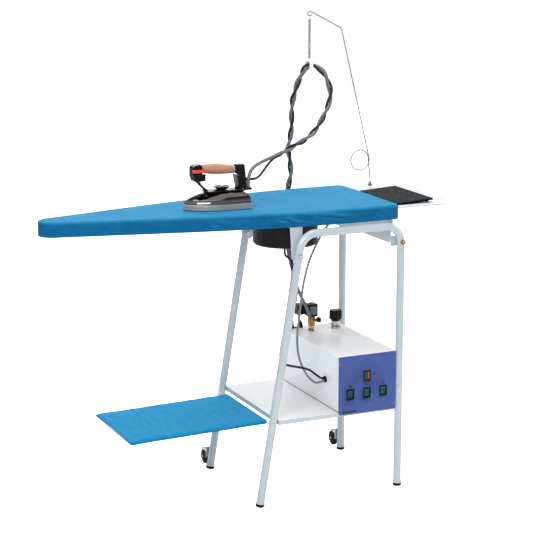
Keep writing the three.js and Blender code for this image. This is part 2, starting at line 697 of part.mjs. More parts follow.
function fanImpeller() {
  const hub = turned([[0, 22], [4, 22], [4, 34], [14, 34], [14, 62], [0, 62]], 16);
  const disc = turned([[0, 34], [90, 34], [90, 36], [0, 36]], 24);
  const blades = [];
  const count = 10;
  for (let i = 0; i < count; i += 1) {
    const blade = block([40, 88], [-1, 1], [35, 60]).rotateZ(0.35).translate(0, -12, 0);
    blades.push(blade.rotateZ((2 * Math.PI * i) / count));
  }
  return join(hub, disc, ...blades);
}

part("fan_impeller", fanImpeller(), STEEL(), fan);

// ---------------------------------------------------------------- board
// The outline is symmetrical about the board's long axis: a round nose, long tapering sides with
// a slight belly, and a square end with rounded corners.
function boardOutline(inset) {
  const noseR = 46 - inset;
  const noseCentre = BOARD_NOSE_X + 46;
  const half = BOARD_HALF_WIDTH - inset;
  const end = BOARD_END_X - inset;
  const corner = 26 - inset;
  const shape = new THREE.Shape();
  shape.moveTo(noseCentre, noseR);
  shape.absarc(noseCentre, 0, noseR, Math.PI / 2, (3 * Math.PI) / 2, false);
  shape.bezierCurveTo(-850, -noseR - 46, -480, -half + 2, -150, -half);
  shape.lineTo(end - corner, -half);
  shape.absarc(end - corner, -half + corner, corner, -Math.PI / 2, 0, false);
  shape.lineTo(end, half - corner);
  shape.absarc(end - corner, half - corner, corner, 0, Math.PI / 2, false);
  shape.lineTo(-150, half);
  shape.bezierCurveTo(-480, half - 2, -850, noseR + 46, noseCentre, noseR);
  return shape;
}

function boardSlab(inset, bottom, top) {
  return slab(boardOutline(inset), top - bottom, 7).translate(0, BOARD_Y, bottom);
}

const PAN_INSET = COVER_WALL + 0.5;
const PLATE_BOTTOM = BOARD_TOP - COVER_PAD - 2.5;

function boardBase() {
  const pan = boardSlab(PAN_INSET, BOARD_BOTTOM, PLATE_BOTTOM - GAP);
  const hollow = boardSlab(PAN_INSET + 2, BOARD_BOTTOM + 2, PLATE_BOTTOM + 5);
  const fanInlet = rod([FAN_X, BOARD_Y, BOARD_BOTTOM - 5], [FAN_X, BOARD_Y, BOARD_BOTTOM + 10], 70, 24);
  return cut(pan, hollow, fanInlet);
}

// The heated work plate, with rows of suction holes.
function workPlate() {
  const shape = boardOutline(PAN_INSET + 1.5);
  const rows = [[-90, 4], [0, 8], [90, 4]];
  for (const [y, count] of rows) {
    for (let i = 0; i < count; i += 1) {
      const hole = new THREE.Path();
      hole.absarc(-80 - i * 100, y, 4, 0, 2 * Math.PI, true);
      shape.holes.push(hole);
    }
  }
  return slab(shape, 2, 4).translate(0, BOARD_Y, PLATE_BOTTOM);
}

function boardCover() {
  const round = 6;
  const body = new THREE.ExtrudeGeometry(boardOutline(round), {
    depth: 60,
    bevelThickness: round,
    bevelSize: round,
    bevelSegments: 2,
    curveSegments: 7,
  }).translate(0, BOARD_Y, BOARD_TOP - 60 - round);
  const below = block([-1300, 200], [-300, 700], [BOARD_BOTTOM - 60, BOARD_BOTTOM]);
  return cut(body, below, boardSlab(COVER_WALL, BOARD_BOTTOM - 5, BOARD_TOP - COVER_PAD));
}

part("board_base", boardBase(), WHITE_SHEET());
part("work_plate", workPlate(), STEEL());
part("board_cover", boardCover(), BLUE_CLOTH());

// ---------------------------------------------------------------- iron rest and hose mast
const rest = subgroup(REST_LEFT, 0, REST_Z);

function restTray() {
  const sheet = 1.2;
  const [front, back] = REST_Y;
  const floor = block([0, REST_LENGTH], [front, back], [0, sheet]);
  const endRim = block([REST_LENGTH - sheet, REST_LENGTH], [front, back], [0, 12]);
  const sideRim = (y) => block([0, REST_LENGTH], [y, y + sheet], [-4, sheet]);
  const stiffLip = block([0, sheet], [front + 40, back - 40], [-66, sheet]);
  return join(floor, endRim, sideRim(front), sideRim(back - sheet), stiffLip);
}

part("rest_tray", restTray(), WHITE_SHEET(), rest);

// The mat slopes up towards the tray's rim, on two feet under its far edge.
const mat = subgroup(0, 0, 0, rest);
mat.rotation.y = -MAT_SLOPE;

function restMat() {
  const feet = [66, 264].map((y) => block([124, 132], [y, y + 8], [-5.2, 3]));
  return join(block([4, 138], [46, 294], [1.8, 9]), ...feet);
}

part("rest_mat", restMat(), BLACK_RUBBER(), mat);

const BUSH_BOTTOM = REST_Z + 8;
part("mast_bushing", turned([
  [0, BUSH_BOTTOM], [7.5, BUSH_BOTTOM], [7.5, BUSH_BOTTOM + 9], [6, BUSH_BOTTOM + 14],
  [MAST_R + 0.35, BUSH_BOTTOM + 14], [MAST_R + 0.35, BUSH_BOTTOM + 2], [0, BUSH_BOTTOM + 2],
], 16), BLACK_PLASTIC()).position.set(...MAST, 0);

// The wire rises from the bushing, makes one spring turn, leans over the board and ends in an eye.
function mastPath() {
  const [ringX, ringZ, ringR] = MAST_RING;
  const [tipX, tipZ] = MAST_TIP;
  const lean = Math.atan2(ringX + ringR - MAST_BEND[0], MAST_BEND[1] - ringZ);
  const turnSteps = 18;
  const points = bent([
    [MAST[0], MAST[1], BUSH_BOTTOM + 2.5],
    [MAST[0], MAST[1], BUSH_BOTTOM + 18],
    [ringX + ringR, MAST[1], ringZ],
  ], 40, 2);
  for (let i = 1; i <= turnSteps; i += 1) {
    const angle = ((2 * Math.PI + lean) * i) / turnSteps;
    const y = MAST[1] + ((MAST_PLANE - MAST[1]) * i) / turnSteps;
    points.push(new THREE.Vector3(ringX + ringR * Math.cos(angle), y, ringZ + ringR * Math.sin(angle)));
  }
  const ringEnd = points.pop();
  points.push(...bent([
    ringEnd.toArray(),
    [MAST_BEND[0], MAST_PLANE, MAST_BEND[1]],
    [tipX, MAST_PLANE, tipZ],
  ], 22, 4));
  const eyeR = 7;
  for (let i = 1; i <= 8; i += 1) {
    const angle = Math.PI / 2 - 0.45 + 0.62 * i;
    points.push(new THREE.Vector3(
      tipX - 3.4 + eyeR * Math.cos(angle),
      MAST_PLANE,
      tipZ - eyeR + 0.5 + eyeR * Math.sin(angle),
    ));
  }
  return points;
}

const SPRING_X = MAST_TIP[0] - 4;
const SPRING_TOP = 1475.5;
const SPRING_BOTTOM = 1337;
const CLIP_CENTRE_Z = 1322;

part("mast_wire", tube(mastPath(), MAST_R, 8), STEEL());
part("tension_spring", rod(
  [SPRING_X, MAST_PLANE, SPRING_BOTTOM], [SPRING_X, MAST_PLANE, SPRING_TOP], 4, 12,
), STEEL());

function hoseClip() {
  const [x, y, z] = [SPRING_X, MAST_PLANE, CLIP_CENTRE_Z];
  const body = block([x - 6, x + 7], [y - 15.5, y + 17], [z - 16.5, SPRING_BOTTOM - GAP]);
  const eye = block([x - 20, x + 20], [y - 13, y + 14.5], [z - 14, z + 11]);
  return cut(body, eye);
}

part("hose_clip", hoseClip(), WHITE_SHEET());

// ---------------------------------------------------------------- iron (nose at its local X = 0)
const iron = subgroup(IRON_NOSE_X, IRON_Y, BOARD_TOP + GAP);

function soleShape(inset) {
  const half = IRON_HALF_WIDTH - inset;
  const heel = IRON_LENGTH - inset;
  const corner = 18;
  const shape = new THREE.Shape();
  shape.moveTo(inset, 0);
  shape.bezierCurveTo(6 + inset, -14, 50, -half + 2, 112, -half);
  shape.lineTo(heel - corner, -half);
  shape.quadraticCurveTo(heel, -half, heel, -half + corner);
  shape.lineTo(heel, half - corner);
  shape.quadraticCurveTo(heel, half, heel - corner, half);
  shape.lineTo(112, half);
  shape.bezierCurveTo(50, half - 2, 6 + inset, 14, inset, 0);
  return shape;
}

part("iron_soleplate", slab(soleShape(0), SOLE_HEIGHT, 6), STEEL(), iron);

function ironDome() {
  const outline = soleShape(0).getPoints(6);
  outline.pop();
  const waist = 165;
  const stack = [
    [SOLE_HEIGHT + GAP, 0.985], [27, 0.965], [35, 0.88], [42, 0.76], [47, 0.65], [DOME_TOP, 0.6],
  ];
  const shell = (drop, thinner) => lofted(stack.map(([z, scale]) => outline.map((p) => (
    new THREE.Vector3(waist + (p.x - waist) * (scale - thinner), p.y * (scale - thinner), z - drop)
  ))));
  return cut(shell(0, 0), shell(3, 0.045));
}

part("iron_dome", ironDome(), CHROME(), iron);

const DIAL_X = 127;
const GRIP_X = 113.5;
const GRIP_TILT = 0.074;

// The grip and its core lean a little, the front end higher.
function tiltedAlongHandle(solid) {
  return solid.rotateY(Math.PI / 2 + GRIP_TILT).translate(GRIP_X, 0, GRIP_Z);
}

function ironHandle() {
  const base = block([72, 198], [-24, 24], [DOME_TOP + GAP, 55]);
  const hoseBoss = block([199, 223], [-18, 2], [DOME_TOP + 1, 57]);
  const post = wall(polygon([
    [178, 50], [207, 50], [203, 131], [168.7, 131], [168.7, 103], [181, 98],
  ]), 26).translate(0, -13, 0);
  const cableBoss = rod([200, 6, 79], [222, 6, 79], 6.5, 12);
  const frontBlock = block([26, 58.3], [-16, 16], [94, 138]);
  const switchBox = block([25, 64], [-26, 14], [88, 108.5]);
  const struts = [-8, 6].map((y) => rod([44, y, 90], [75, y, 52], 3, 8));
  const core = tiltedAlongHandle(rod([0, 0, -64], [0, 0, 62], 6, 16));
  const dialBore = rod([DIAL_X, 0, 40], [DIAL_X, 0, 70], 5.4, 16);
  return cut(join(base, hoseBoss, post, cableBoss, frontBlock, switchBox, ...struts, core), dialBore);
}

part("iron_handle", ironHandle(), BLACK_PLASTIC(), iron);

part("iron_grip", tiltedAlongHandle(turned([
  [6.4, -54], [12.5, -54], [14, -46], [GRIP_R, -20], [GRIP_R, 5], [14.3, 32], [13, 48], [12.3, 54],
  [6.4, 54], [6.4, -54],
], 20)), CORK(), iron);

function trigger() {
  const side = polygon([[24, 117], [27, 115], [68, 114.5], [69.5, 118], [64, 123], [30, 124.5], [25, 122]]);
  return wall(side, 7.5, 2).translate(0, -24.5, 0);
}

part("iron_trigger", trigger(), RED_PLASTIC(), iron);

part("thermostat_dial", turned([
  [0, 51], [5, 51], [5, 56], [15, 56], [20, 61], [25, 64], [25, 66], [18, 70], [8, 72], [0, 72.4],
], 20), CHROME(), iron).position.x = DIAL_X;

// ---------------------------------------------------------------- hoses and cables
// Middle line of the hose and cable pair, from behind the board to where they part near the iron.
const BUNDLE = [
  [-199, 426, 850], [-190, 433, 885], [-184, 434, 920], [-177, 432, 958], [-182, 428, 1005],
  [-190, 423, 1047], [-185, 419, 1085], [-182, 415, 1123], [-184, 411, 1160], [-184, 405, 1200],
  [-177, 393, 1247], [-165, 372, 1297], [-155, 366, 1315], [-143, 364, 1321.5], [-131, 361, 1320],
  [-102, 351, 1298], [-85, 349, 1268], [-77, 344, 1230], [-90, 336, 1190], [-117, 326, 1148],
  [-146, 315, 1117], [-185, 303, 1092], [-235, 288, 1075], [-287, 270, 1057],
];
const HOSE_START = [
  [-164.2, 304.1, 493.3], [-167.7, 298.7, 497.9], [-177, 294, 522], [-189, 294, 552], [-203, 296, 580],
  [-213, 304, 612], [-218, 328, 660], [-218, 362, 715], [-211, 398, 785],
];
const HOSE_END = [
  [-336, 242, 1051], [-376, 216.5, 1045], [-409.3, 196.4, 1037], [-422.6, 188.5, 1030.7],
  [-433.2, 182.2, 1019.6], [-440, 178.2, 1004.8], [-442, 177, 990], [-442, 177, 975.2],
];
const CABLE_START = [
  [-196, 378, 471.4], [-196, 378, 480], [-191, 379, 515], [-180, 380, 550], [-176, 383, 590],
  [-180, 394, 640], [-188, 410, 700], [-195, 424, 780],
];
const CABLE_END = [
  [-315, 265, 1044], [-340, 253, 1029], [-364, 237, 1012], [-385, 219, 1001], [-403, 203, 997],
  [-415, 194.5, 996.8], [-426, 191.2, 996.8], [-433.5, 191, 996.8],
];

// The two strands lie side by side, the hose in front of the cable.
function strand(side) {
  const reach = 5.5;
  return smooth(BUNDLE, 46).map((point) => [point.x, point.y + side * reach, point.z]);
}

// A free cord: it leaves and enters its fittings along a short straight end.
function cord(places, steps, radius, sides = 8) {
  const first = new THREE.Vector3(...places[0]);
  const last = new THREE.Vector3(...places[places.length - 1]);
  return tube([first, ...smooth(places.slice(1, -1), steps - 2), last], radius, sides);
}

part("steam_hose", cord([...HOSE_START, ...strand(-1), ...HOSE_END], 64, HOSE_R), GREY_HOSE());
part("iron_cable", cord([...CABLE_START, ...strand(1), ...CABLE_END], 72, CABLE_R), BLACK_CABLE());

const [grommetX, grommetY, grommetZ] = GROMMET;
part("board_cable", cord([
  [grommetX - 6.5, grommetY - 2, grommetZ - 4.6], [grommetX - 14, grommetY - 2, grommetZ - 4.8],
  [-256, 72, 353], [-282, 67, 372], [-306, 64, 408], [-321, 64, 450], [-325, 68, 500], [-316, 77, 560],
  [-301, 91, 620], [-286, 101, 680], [-266, 106, 740], [-243, 108, 786], [-214, 116, 826], [-190, 124, 850],
  [-182, 127, 862], [-181.5, 127, BOARD_BOTTOM - 0.5],
], 34, 3.6), GREY_HOSE());
part("fan_cable", cord([
  [grommetX - 6.5, grommetY + 1, grommetZ + 4.6], [grommetX - 14, grommetY + 1, grommetZ + 4.8],
  [-258, 66, 380], [-290, 54, 404], [-322, 51, 416], [-352, 52, 424], [-378, 52, 434], [-391, 50, 452],
  [-391, 47, 480], [-383, 45, 530], [-372, 44, 600], [-360, 46, 670], [-350, 52, 722], [-345, 66, 750],
  [-342, 92, 758], [-339, 116, 758], [-338, 130, 762], [-338, 134, 772], [-338, 134, FAN_BOTTOM - 0.4],
], 38, 3.6), BLACK_CABLE());

export default group;
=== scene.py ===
# Professional ironing station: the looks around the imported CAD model.
# Lengths are millimetres in the station's own coordinates: X = 0 is the plane of the upright legs,
# Y = 0 the front leg frame, Z = 0 the floor. piece() moves them into the part's frame, in metres.
import math
import random

import bmesh
import bpy
from mathutils import Matrix, Quaternion, Vector, noise


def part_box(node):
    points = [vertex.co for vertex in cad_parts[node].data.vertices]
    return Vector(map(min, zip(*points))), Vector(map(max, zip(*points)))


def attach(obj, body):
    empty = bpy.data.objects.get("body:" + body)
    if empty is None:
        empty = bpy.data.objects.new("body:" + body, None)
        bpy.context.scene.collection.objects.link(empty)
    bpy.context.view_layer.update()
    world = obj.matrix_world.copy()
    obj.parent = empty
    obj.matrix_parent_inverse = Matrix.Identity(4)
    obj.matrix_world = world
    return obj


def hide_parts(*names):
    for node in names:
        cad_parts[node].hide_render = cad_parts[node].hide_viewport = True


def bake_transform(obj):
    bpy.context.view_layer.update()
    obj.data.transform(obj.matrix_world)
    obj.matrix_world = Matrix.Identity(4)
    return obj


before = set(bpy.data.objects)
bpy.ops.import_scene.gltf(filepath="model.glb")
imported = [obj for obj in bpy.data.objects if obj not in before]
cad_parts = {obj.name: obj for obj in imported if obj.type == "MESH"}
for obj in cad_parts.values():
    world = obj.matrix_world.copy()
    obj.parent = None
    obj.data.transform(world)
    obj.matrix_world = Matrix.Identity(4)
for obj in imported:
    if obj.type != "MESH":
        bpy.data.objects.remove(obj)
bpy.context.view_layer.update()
random.seed(4)

MM = 0.001
FOOT_LOW, FOOT_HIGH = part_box("front_right_foot")
ORIGIN = Vector(((FOOT_LOW[0] + FOOT_HIGH[0]) / 2, (FOOT_LOW[1] + FOOT_HIGH[1]) / 2, 0))
TO_FRAME = Matrix.Translation(ORIGIN) @ Matrix.Scale(MM, 4)
UP = Vector((0, 0, 1))


def place(x, y, z):
    return TO_FRAME @ Vector((x, y, z))


# ------------------------------------------------------------------ camera, light and floor
VIEW_FROM = (-2582.7, -4653.1, 1890.8)
VIEW_YAW = 24.512
VIEW_PITCH = 12.452
LENS = 117.23


def make_camera():
    data = bpy.data.cameras.new("camera")
    data.lens = LENS
    data.sensor_width = 36
    data.clip_end = 60
    camera = bpy.data.objects.new("camera", data)
    camera.location = place(*VIEW_FROM)
    camera.rotation_euler = (math.radians(90 - VIEW_PITCH), 0, math.radians(-VIEW_YAW))
    bpy.context.scene.collection.objects.link(camera)
    bpy.context.scene.camera = camera


def softbox(name, at, towards, width, height, power):
    data = bpy.data.lights.new(name, "AREA")
    data.shape = "RECTANGLE"
    data.size = width
    data.size_y = height
    data.energy = power
    light = bpy.data.objects.new(name, data)
    light.location = at
    light.rotation_euler = (Vector(towards) - Vector(at)).to_track_quat("-Z", "Y").to_euler()
    bpy.context.scene.collection.objects.link(light)


def make_studio():
    middle = (0, 0, 0.7)
    softbox("key", (-2.6, -3.4, 3.2), middle, 2.4, 2.4, 120)
    softbox("top", (0.2, 0.2, 4.0), middle, 2.6, 2.2, 75)
    softbox("right", (3.6, -1.6, 1.8), middle, 1.6, 2.6, 40)
    softbox("back", (0.8, 3.4, 2.6), middle, 2.6, 1.6, 75)
    world = bpy.data.worlds.new("studio")
    bpy.context.scene.world = world
    world.use_nodes = True
    nodes, links = world.node_tree.nodes, world.node_tree.links
    nodes.clear()
    out = nodes.new("ShaderNodeOutputWorld")
    mix = nodes.new("ShaderNodeMixShader")
    seen = nodes.new("ShaderNodeBackground")
    seen.inputs["Color"].default_value = (1, 1, 1, 1)
    seen.inputs["Strength"].default_value = 1.0
    around = nodes.new("ShaderNodeBackground")
    around.inputs["Strength"].default_value = 0.62
    ramp = nodes.new("ShaderNodeValToRGB")
    stops = ramp.color_ramp.elements
    stops[0].position, stops[0].color = 0.44, (0.62, 0.64, 0.66, 1)
    stops[1].position, stops[1].color = 0.50, (0.10, 0.11, 0.12, 1)
    for position, shade in ((0.56, 0.16), (0.68, 0.95), (1.0, 1.0)):
        stop = stops.new(position)
        stop.color = (shade, shade, shade, 1)
    where = nodes.new("ShaderNodeTexCoord")
    split = nodes.new("ShaderNodeSeparateXYZ")
    height = nodes.new("ShaderNodeMapRange")
    height.inputs["From Min"].default_value = -1
    height.inputs["From Max"].default_value = 1
    ray = nodes.new("ShaderNodeLightPath")
    links.new(where.outputs["Generated"], split.inputs[0])
    links.new(split.outputs["Z"], height.inputs["Value"])
    links.new(height.outputs["Result"], ramp.inputs["Fac"])
    links.new(ramp.outputs["Color"], around.inputs["Color"])
    links.new(ray.outputs["Is Camera Ray"], mix.inputs["Fac"])
    links.new(around.outputs[0], mix.inputs[1])
    links.new(seen.outputs[0], mix.inputs[2])
    links.new(mix.outputs[0], out.inputs["Surface"])
    bpy.context.scene.view_settings.view_transform = "Standard"


# ------------------------------------------------------------------ materials
class Look:
    """A node material under construction, tied to one of the material slots."""

    def __init__(self, name, slot, colour, roughness, metallic=0.0, **sockets):
        self.slot = slot
        self.material = bpy.data.materials.new(name)
        self.material.use_nodes = True
        self.tree = self.material.node_tree
        self.shader = self.tree.nodes["Principled BSDF"]
        self.colour = colour
        self.shader.inputs["Base Color"].default_value = (*colour, 1)
        self.shader.inputs["Roughness"].default_value = roughness
        self.shader.inputs["Metallic"].default_value = metallic
        for socket, value in sockets.items():
            self.shader.inputs[socket.replace("_", " ")].default_value = value
        self.where = self.node("ShaderNodeTexCoord").outputs["Object"]

    def node(self, kind, **values):
        made = self.tree.nodes.new(kind)
        for name, value in values.items():
            setattr(made, name, value)
        return made

    def link(self, a, b):
        self.tree.links.new(a, b)

    def stretched(self, scale):
        mapping = self.node("ShaderNodeMapping")
        mapping.inputs["Scale"].default_value = scale
        self.link(self.where, mapping.inputs["Vector"])
        return mapping.outputs["Vector"]

    def noise(self, size_mm, detail=3, stretch=(1, 1, 1)):
        grain = self.node("ShaderNodeTexNoise")
        grain.inputs["Scale"].default_value = 1000 / size_mm
        grain.inputs["Detail"].default_value = detail
        self.link(self.stretched(stretch), grain.inputs["Vector"])
        return grain.outputs["Fac"]

    def bands(self, pitch_mm, axis):
        wave = self.node("ShaderNodeTexWave", bands_direction=axis)
        wave.inputs["Scale"].default_value = 314 / pitch_mm
        self.link(self.where, wave.inputs["Vector"])
        return wave.outputs["Fac"]

    def height(self):
        split = self.node("ShaderNodeSeparateXYZ")
        self.link(self.where, split.inputs[0])
        return split.outputs["Z"]

    def sums(self, operation, a, b):
        maths = self.node("ShaderNodeMath", operation=operation)
        for value, socket in ((a, maths.inputs[0]), (b, maths.inputs[1])):
            if isinstance(value, (int, float)):
                socket.default_value = value
            else:
                self.link(value, socket)
        return maths.outputs[0]

    def ranged(self, value, low, high, start=0.3, end=0.7):
        ramp = self.node("ShaderNodeMapRange")
        ramp.inputs["From Min"].default_value = start
        ramp.inputs["From Max"].default_value = end
        ramp.inputs["To Min"].default_value = low
        ramp.inputs["To Max"].default_value = high
        self.link(value, ramp.inputs["Value"])
        return ramp.outputs["Result"]

    def mix(self, factor, dark, light):
        blend = self.node("ShaderNodeMix", data_type="RGBA")
        self.link(factor, blend.inputs["Factor"])
        for colour, socket in ((dark, blend.inputs[6]), (light, blend.inputs[7])):
            if isinstance(colour, tuple):
                socket.default_value = (*colour, 1)
            else:
                self.link(colour, socket)
        return blend.outputs[2]

    def tinted(self, factor, amount):
        dark = tuple(c * (1 - amount) for c in self.colour)
        light = tuple(min(1, c * (1 + amount)) for c in self.colour)
        return self.mix(self.ranged(factor, 0, 1), dark, light)

    def paint(self, colour):
        self.link(colour, self.shader.inputs["Base Color"])

    def rough(self, value, low, high):
        self.link(self.ranged(value, low, high), self.shader.inputs["Roughness"])

    def bump(self, height, depth_mm):
        bump = self.node("ShaderNodeBump")
        bump.inputs["Distance"].default_value = depth_mm * MM
        self.link(height, bump.inputs["Height"])
        self.link(bump.outputs["Normal"], self.shader.inputs["Normal"])


def plain_look(name, slot, colour, roughness, metallic=0.0, tint=0.06, patch=60, grain=1.5, depth=0.03,
               spread=0.06, stretch=(1, 1, 1), **sockets):
    """A finish with soft colour patches, uneven gloss and a fine surface grain."""
    look = Look(name, slot, colour, roughness, metallic, **sockets)
    look.paint(look.tinted(look.noise(patch, 4), tint))
    fine = look.noise(grain, 3, stretch)
    look.rough(fine, roughness - spread, roughness + spread)
    look.bump(fine, depth)
    return look


def cloth_look(name, colour, pale):
    """Woven cotton, paler where it is worn, and with painted light that makes it paler where it faces up."""
    look = Look(name, "blue_cloth", colour, 0.85, Sheen_Weight=0.04, Sheen_Roughness=0.5,
                Specular_IOR_Level=0.12)
    threads = look.sums("ADD", look.bands(1.1, "X"), look.bands(1.1, "Y"))
    threads = look.sums("ADD", threads, look.bands(1.1, "Z"))
    # Painted light: the cloth is painted paler the more its surface faces up.
    facing = look.node("ShaderNodeSeparateXYZ")
    look.link(look.node("ShaderNodeTexCoord").outputs["Normal"], facing.inputs[0])
    worn = look.sums("MULTIPLY", look.noise(140, 5), look.noise(26, 4))
    painted_top_light = look.ranged(facing.outputs["Z"], 0, 0.72, 0.0, 0.8)
    tone = look.mix(look.sums("ADD", painted_top_light, look.ranged(worn, 0, 0.3, 0.12, 0.42)), colour, pale)
    shaded = look.mix(look.ranged(threads, 0, 0.16, 0.6, 2.4), tone, tuple(0.45 * c for c in colour))
    look.paint(shaded)
    look.rough(look.noise(9, 3), 0.78, 0.92)
    look.bump(look.sums("ADD", threads, look.sums("MULTIPLY", look.noise(14, 4), 3.0)), 0.12)
    return look


def cork_look():
    """Pressed cork: dark flecks among grains of two tones."""
    look = Look("cork", "cork", (0.50, 0.245, 0.145), 0.8)
    cells = look.node("ShaderNodeTexVoronoi")
    cells.inputs["Scale"].default_value = 480
    look.link(look.stretched((1, 1, 1)), cells.inputs["Vector"])
    flecks = look.ranged(cells.outputs["Distance"], 0, 1, 0.05, 0.55)
    tone = look.mix(look.ranged(look.noise(3.2, 5), 0, 1), (0.36, 0.16, 0.09), (0.58, 0.30, 0.19))
    look.paint(look.mix(flecks, (0.28, 0.12, 0.065), tone))
    look.bump(look.sums("ADD", flecks, look.noise(1.2, 4)), 0.15)
    return look


def braid_look(name, slot, colour, pitch):
    """A woven sleeve: two sets of fine diagonal bands in the cord's own space."""
    look = Look(name, slot, colour, 0.5)
    left = look.bands(pitch, "DIAGONAL")
    right = look.bands(pitch, "Z")
    weave = look.sums("MULTIPLY", left, right)
    look.paint(look.mix(look.ranged(weave, 0, 1, 0.1, 0.7), tuple(c * 0.72 for c in colour), colour))
    look.rough(look.noise(7, 3), 0.38, 0.58)
    look.bump(weave, 0.2)
    return look


def lit_look(name, colour, glow):
    """A tinted lens with a weak lamp behind it, brighter in some places than in others."""
    look = Look(name, "green_lens", colour, 0.25, Specular_IOR_Level=0.25)
    patch = look.noise(9, 2)
    look.paint(look.tinted(patch, 0.25))
    look.shader.inputs["Emission Color"].default_value = (*colour, 1)
    look.shader.inputs["Emission Strength"].default_value = glow
    look.bump(look.bands(1.2, "X"), 0.05)
    return look


WHITE = plain_look("white_paint", "white_paint", (0.50, 0.56, 0.60), 0.34, 0.15, 0.04, 90, 1.6, 0.02)
SHEET = plain_look("white_sheet", "white_sheet", (0.84, 0.86, 0.88), 0.12, 0.0, 0.02, 120, 2.2, 0.006, 0.03)
# Painted shade: the shelf is the casing's white sheet, painted darker.
SHELF_PAINTED_SHADE = plain_look("shelf_sheet_painted_shade", "white_sheet", (0.74, 0.755, 0.77), 0.2, 0.0, 0.02, 120, 2.2, 0.01, 0.04)
FLOOR = plain_look("pale_floor", "white_sheet", (0.86, 0.87, 0.88), 0.8, 0.0, 0.01, 400, 6, 0.02,
                   Emission_Color=(1, 1, 1, 1))
FLOOR_SEEN = FLOOR.node("ShaderNodeLightPath").outputs["Is Camera Ray"]
FLOOR.link(FLOOR_SEEN, FLOOR.shader.inputs["Emission Strength"])
COVER = cloth_look("board_cloth", (0.0, 0.105, 0.27), (0.012, 0.23, 0.44))
TRAY = cloth_look("tray_cloth", (0.0, 0.17, 0.37), (0.01, 0.285, 0.56))
PANEL = plain_look("panel_blue", "blue_panel", (0.056, 0.098, 0.315), 0.5, 0.0, 0.06, 40, 0.9, 0.02,
                   Specular_IOR_Level=0.25)
BLACK = plain_look("black_plastic", "black_plastic", (0.003, 0.0035, 0.004), 0.38, 0.0, 0.3, 20, 0.8, 0.03,
                   Specular_IOR_Level=0.22)
GREY = plain_look("grey_plate", "black_plastic", (0.10, 0.115, 0.13), 0.4, 0.2, 0.1, 20, 0.8, 0.02)
RUBBER = plain_look("black_rubber", "black_rubber", (0.005, 0.0055, 0.006), 0.6, 0.0, 0.3, 12, 0.7, 0.06,
                    Specular_IOR_Level=0.18)
STEEL = plain_look("steel", "bare_steel", (0.56, 0.58, 0.60), 0.28, 1.0, 0.06, 8, 0.5, 0.01, 0.1)
SPRING = plain_look("spring_steel", "bare_steel", (0.33, 0.36, 0.40), 0.32, 0.9, 0.08, 8, 0.5, 0.01, 0.1)
SATIN = plain_look("satin_aluminium", "sole_aluminium", (0.46, 0.43, 0.40), 0.5, 0.7, 0.05, 12, 0.5, 0.012,
                   0.08, stretch=(0.08, 1, 1))
BURNT = plain_look("heat_tinted_edge", "sole_aluminium", (0.30, 0.20, 0.14), 0.4, 0.8, 0.2, 14, 0.6, 0.01)
CHROME = plain_look("bright_chrome", "bright_chrome", (0.30, 0.295, 0.29), 0.08, 1.0, 0.03, 20, 2.5, 0.004,
                    0.03)
# Painted reflection: the iron's dome is painted darker from its shoulder up over this range of heights, in
# metres above the floor.
DOME_PAINTED_REFLECTION_HEIGHTS = (0.938, 0.952)
DOME_PAINTED_REFLECTION_TONES = ((0.30, 0.295, 0.29), (0.03, 0.028, 0.027))
CHROME.paint(CHROME.mix(CHROME.ranged(CHROME.height(), 0, 1, *DOME_PAINTED_REFLECTION_HEIGHTS), *DOME_PAINTED_REFLECTION_TONES))
SILVER = plain_look("dial_silver", "bright_chrome", (0.40, 0.42, 0.44), 0.3, 0.9, 0.05, 9, 0.4, 0.01)
BRASS = plain_look("brass", "brass", (0.50, 0.25, 0.07), 0.28, 1.0, 0.18, 7, 0.6, 0.03, 0.1)
COPPER = plain_look("copper_tinted", "brass", (0.30, 0.085, 0.025), 0.42, 0.6, 0.15, 5, 0.6, 0.03)
RED = plain_look("red_plastic", "red_plastic", (0.86, 0.055, 0.018), 0.28, 0.0, 0.06, 14, 0.8, 0.015)
# Painted highlight: the mat's raised bars are its own black rubber, painted paler than the mat.
GRID_PAINTED_HIGHLIGHT = plain_look("rest_grid_painted_highlight", "black_rubber", (0.03, 0.032, 0.035), 0.7, 0.0, 0.3, 12, 0.7, 0.04,
                  Specular_IOR_Level=0.1)
MAT = plain_look("rest_mat", "black_rubber", (0.003, 0.0033, 0.0036), 0.8, 0.0, 0.3, 12, 0.7, 0.04,
                 Specular_IOR_Level=0.03)
CORK = cork_look()
HOSE = braid_look("hose_braid", "grey_hose", (0.16, 0.17, 0.19), 2.4)
CABLE = plain_look("cable_sheath", "black_cable", (0.012, 0.013, 0.015), 0.45, 0.0, 0.3, 16, 1.2, 0.05,
                   Specular_IOR_Level=0.3)
LEAD = plain_look("grey_sheath", "grey_hose", (0.20, 0.215, 0.23), 0.38, 0.0, 0.12, 16, 1.2, 0.05)
GREEN = lit_look("green_lit", (0.001, 0.075, 0.048), 0.06)
DARK_GREEN = lit_look("green_lens_dark", (0.004, 0.065, 0.03), 0.05)
AMBER = lit_look("amber_lit", (0.26, 0.045, 0.010), 0.10)
INK = plain_look("printed_ink", "black_plastic", (0.012, 0.013, 0.02), 0.6, 0.0, 0.1, 8, 0.6, 0.01)
PALE_INK = plain_look("faded_ink", "black_plastic", (0.05, 0.07, 0.20), 0.6, 0.0, 0.1, 8, 0.6, 0.01)


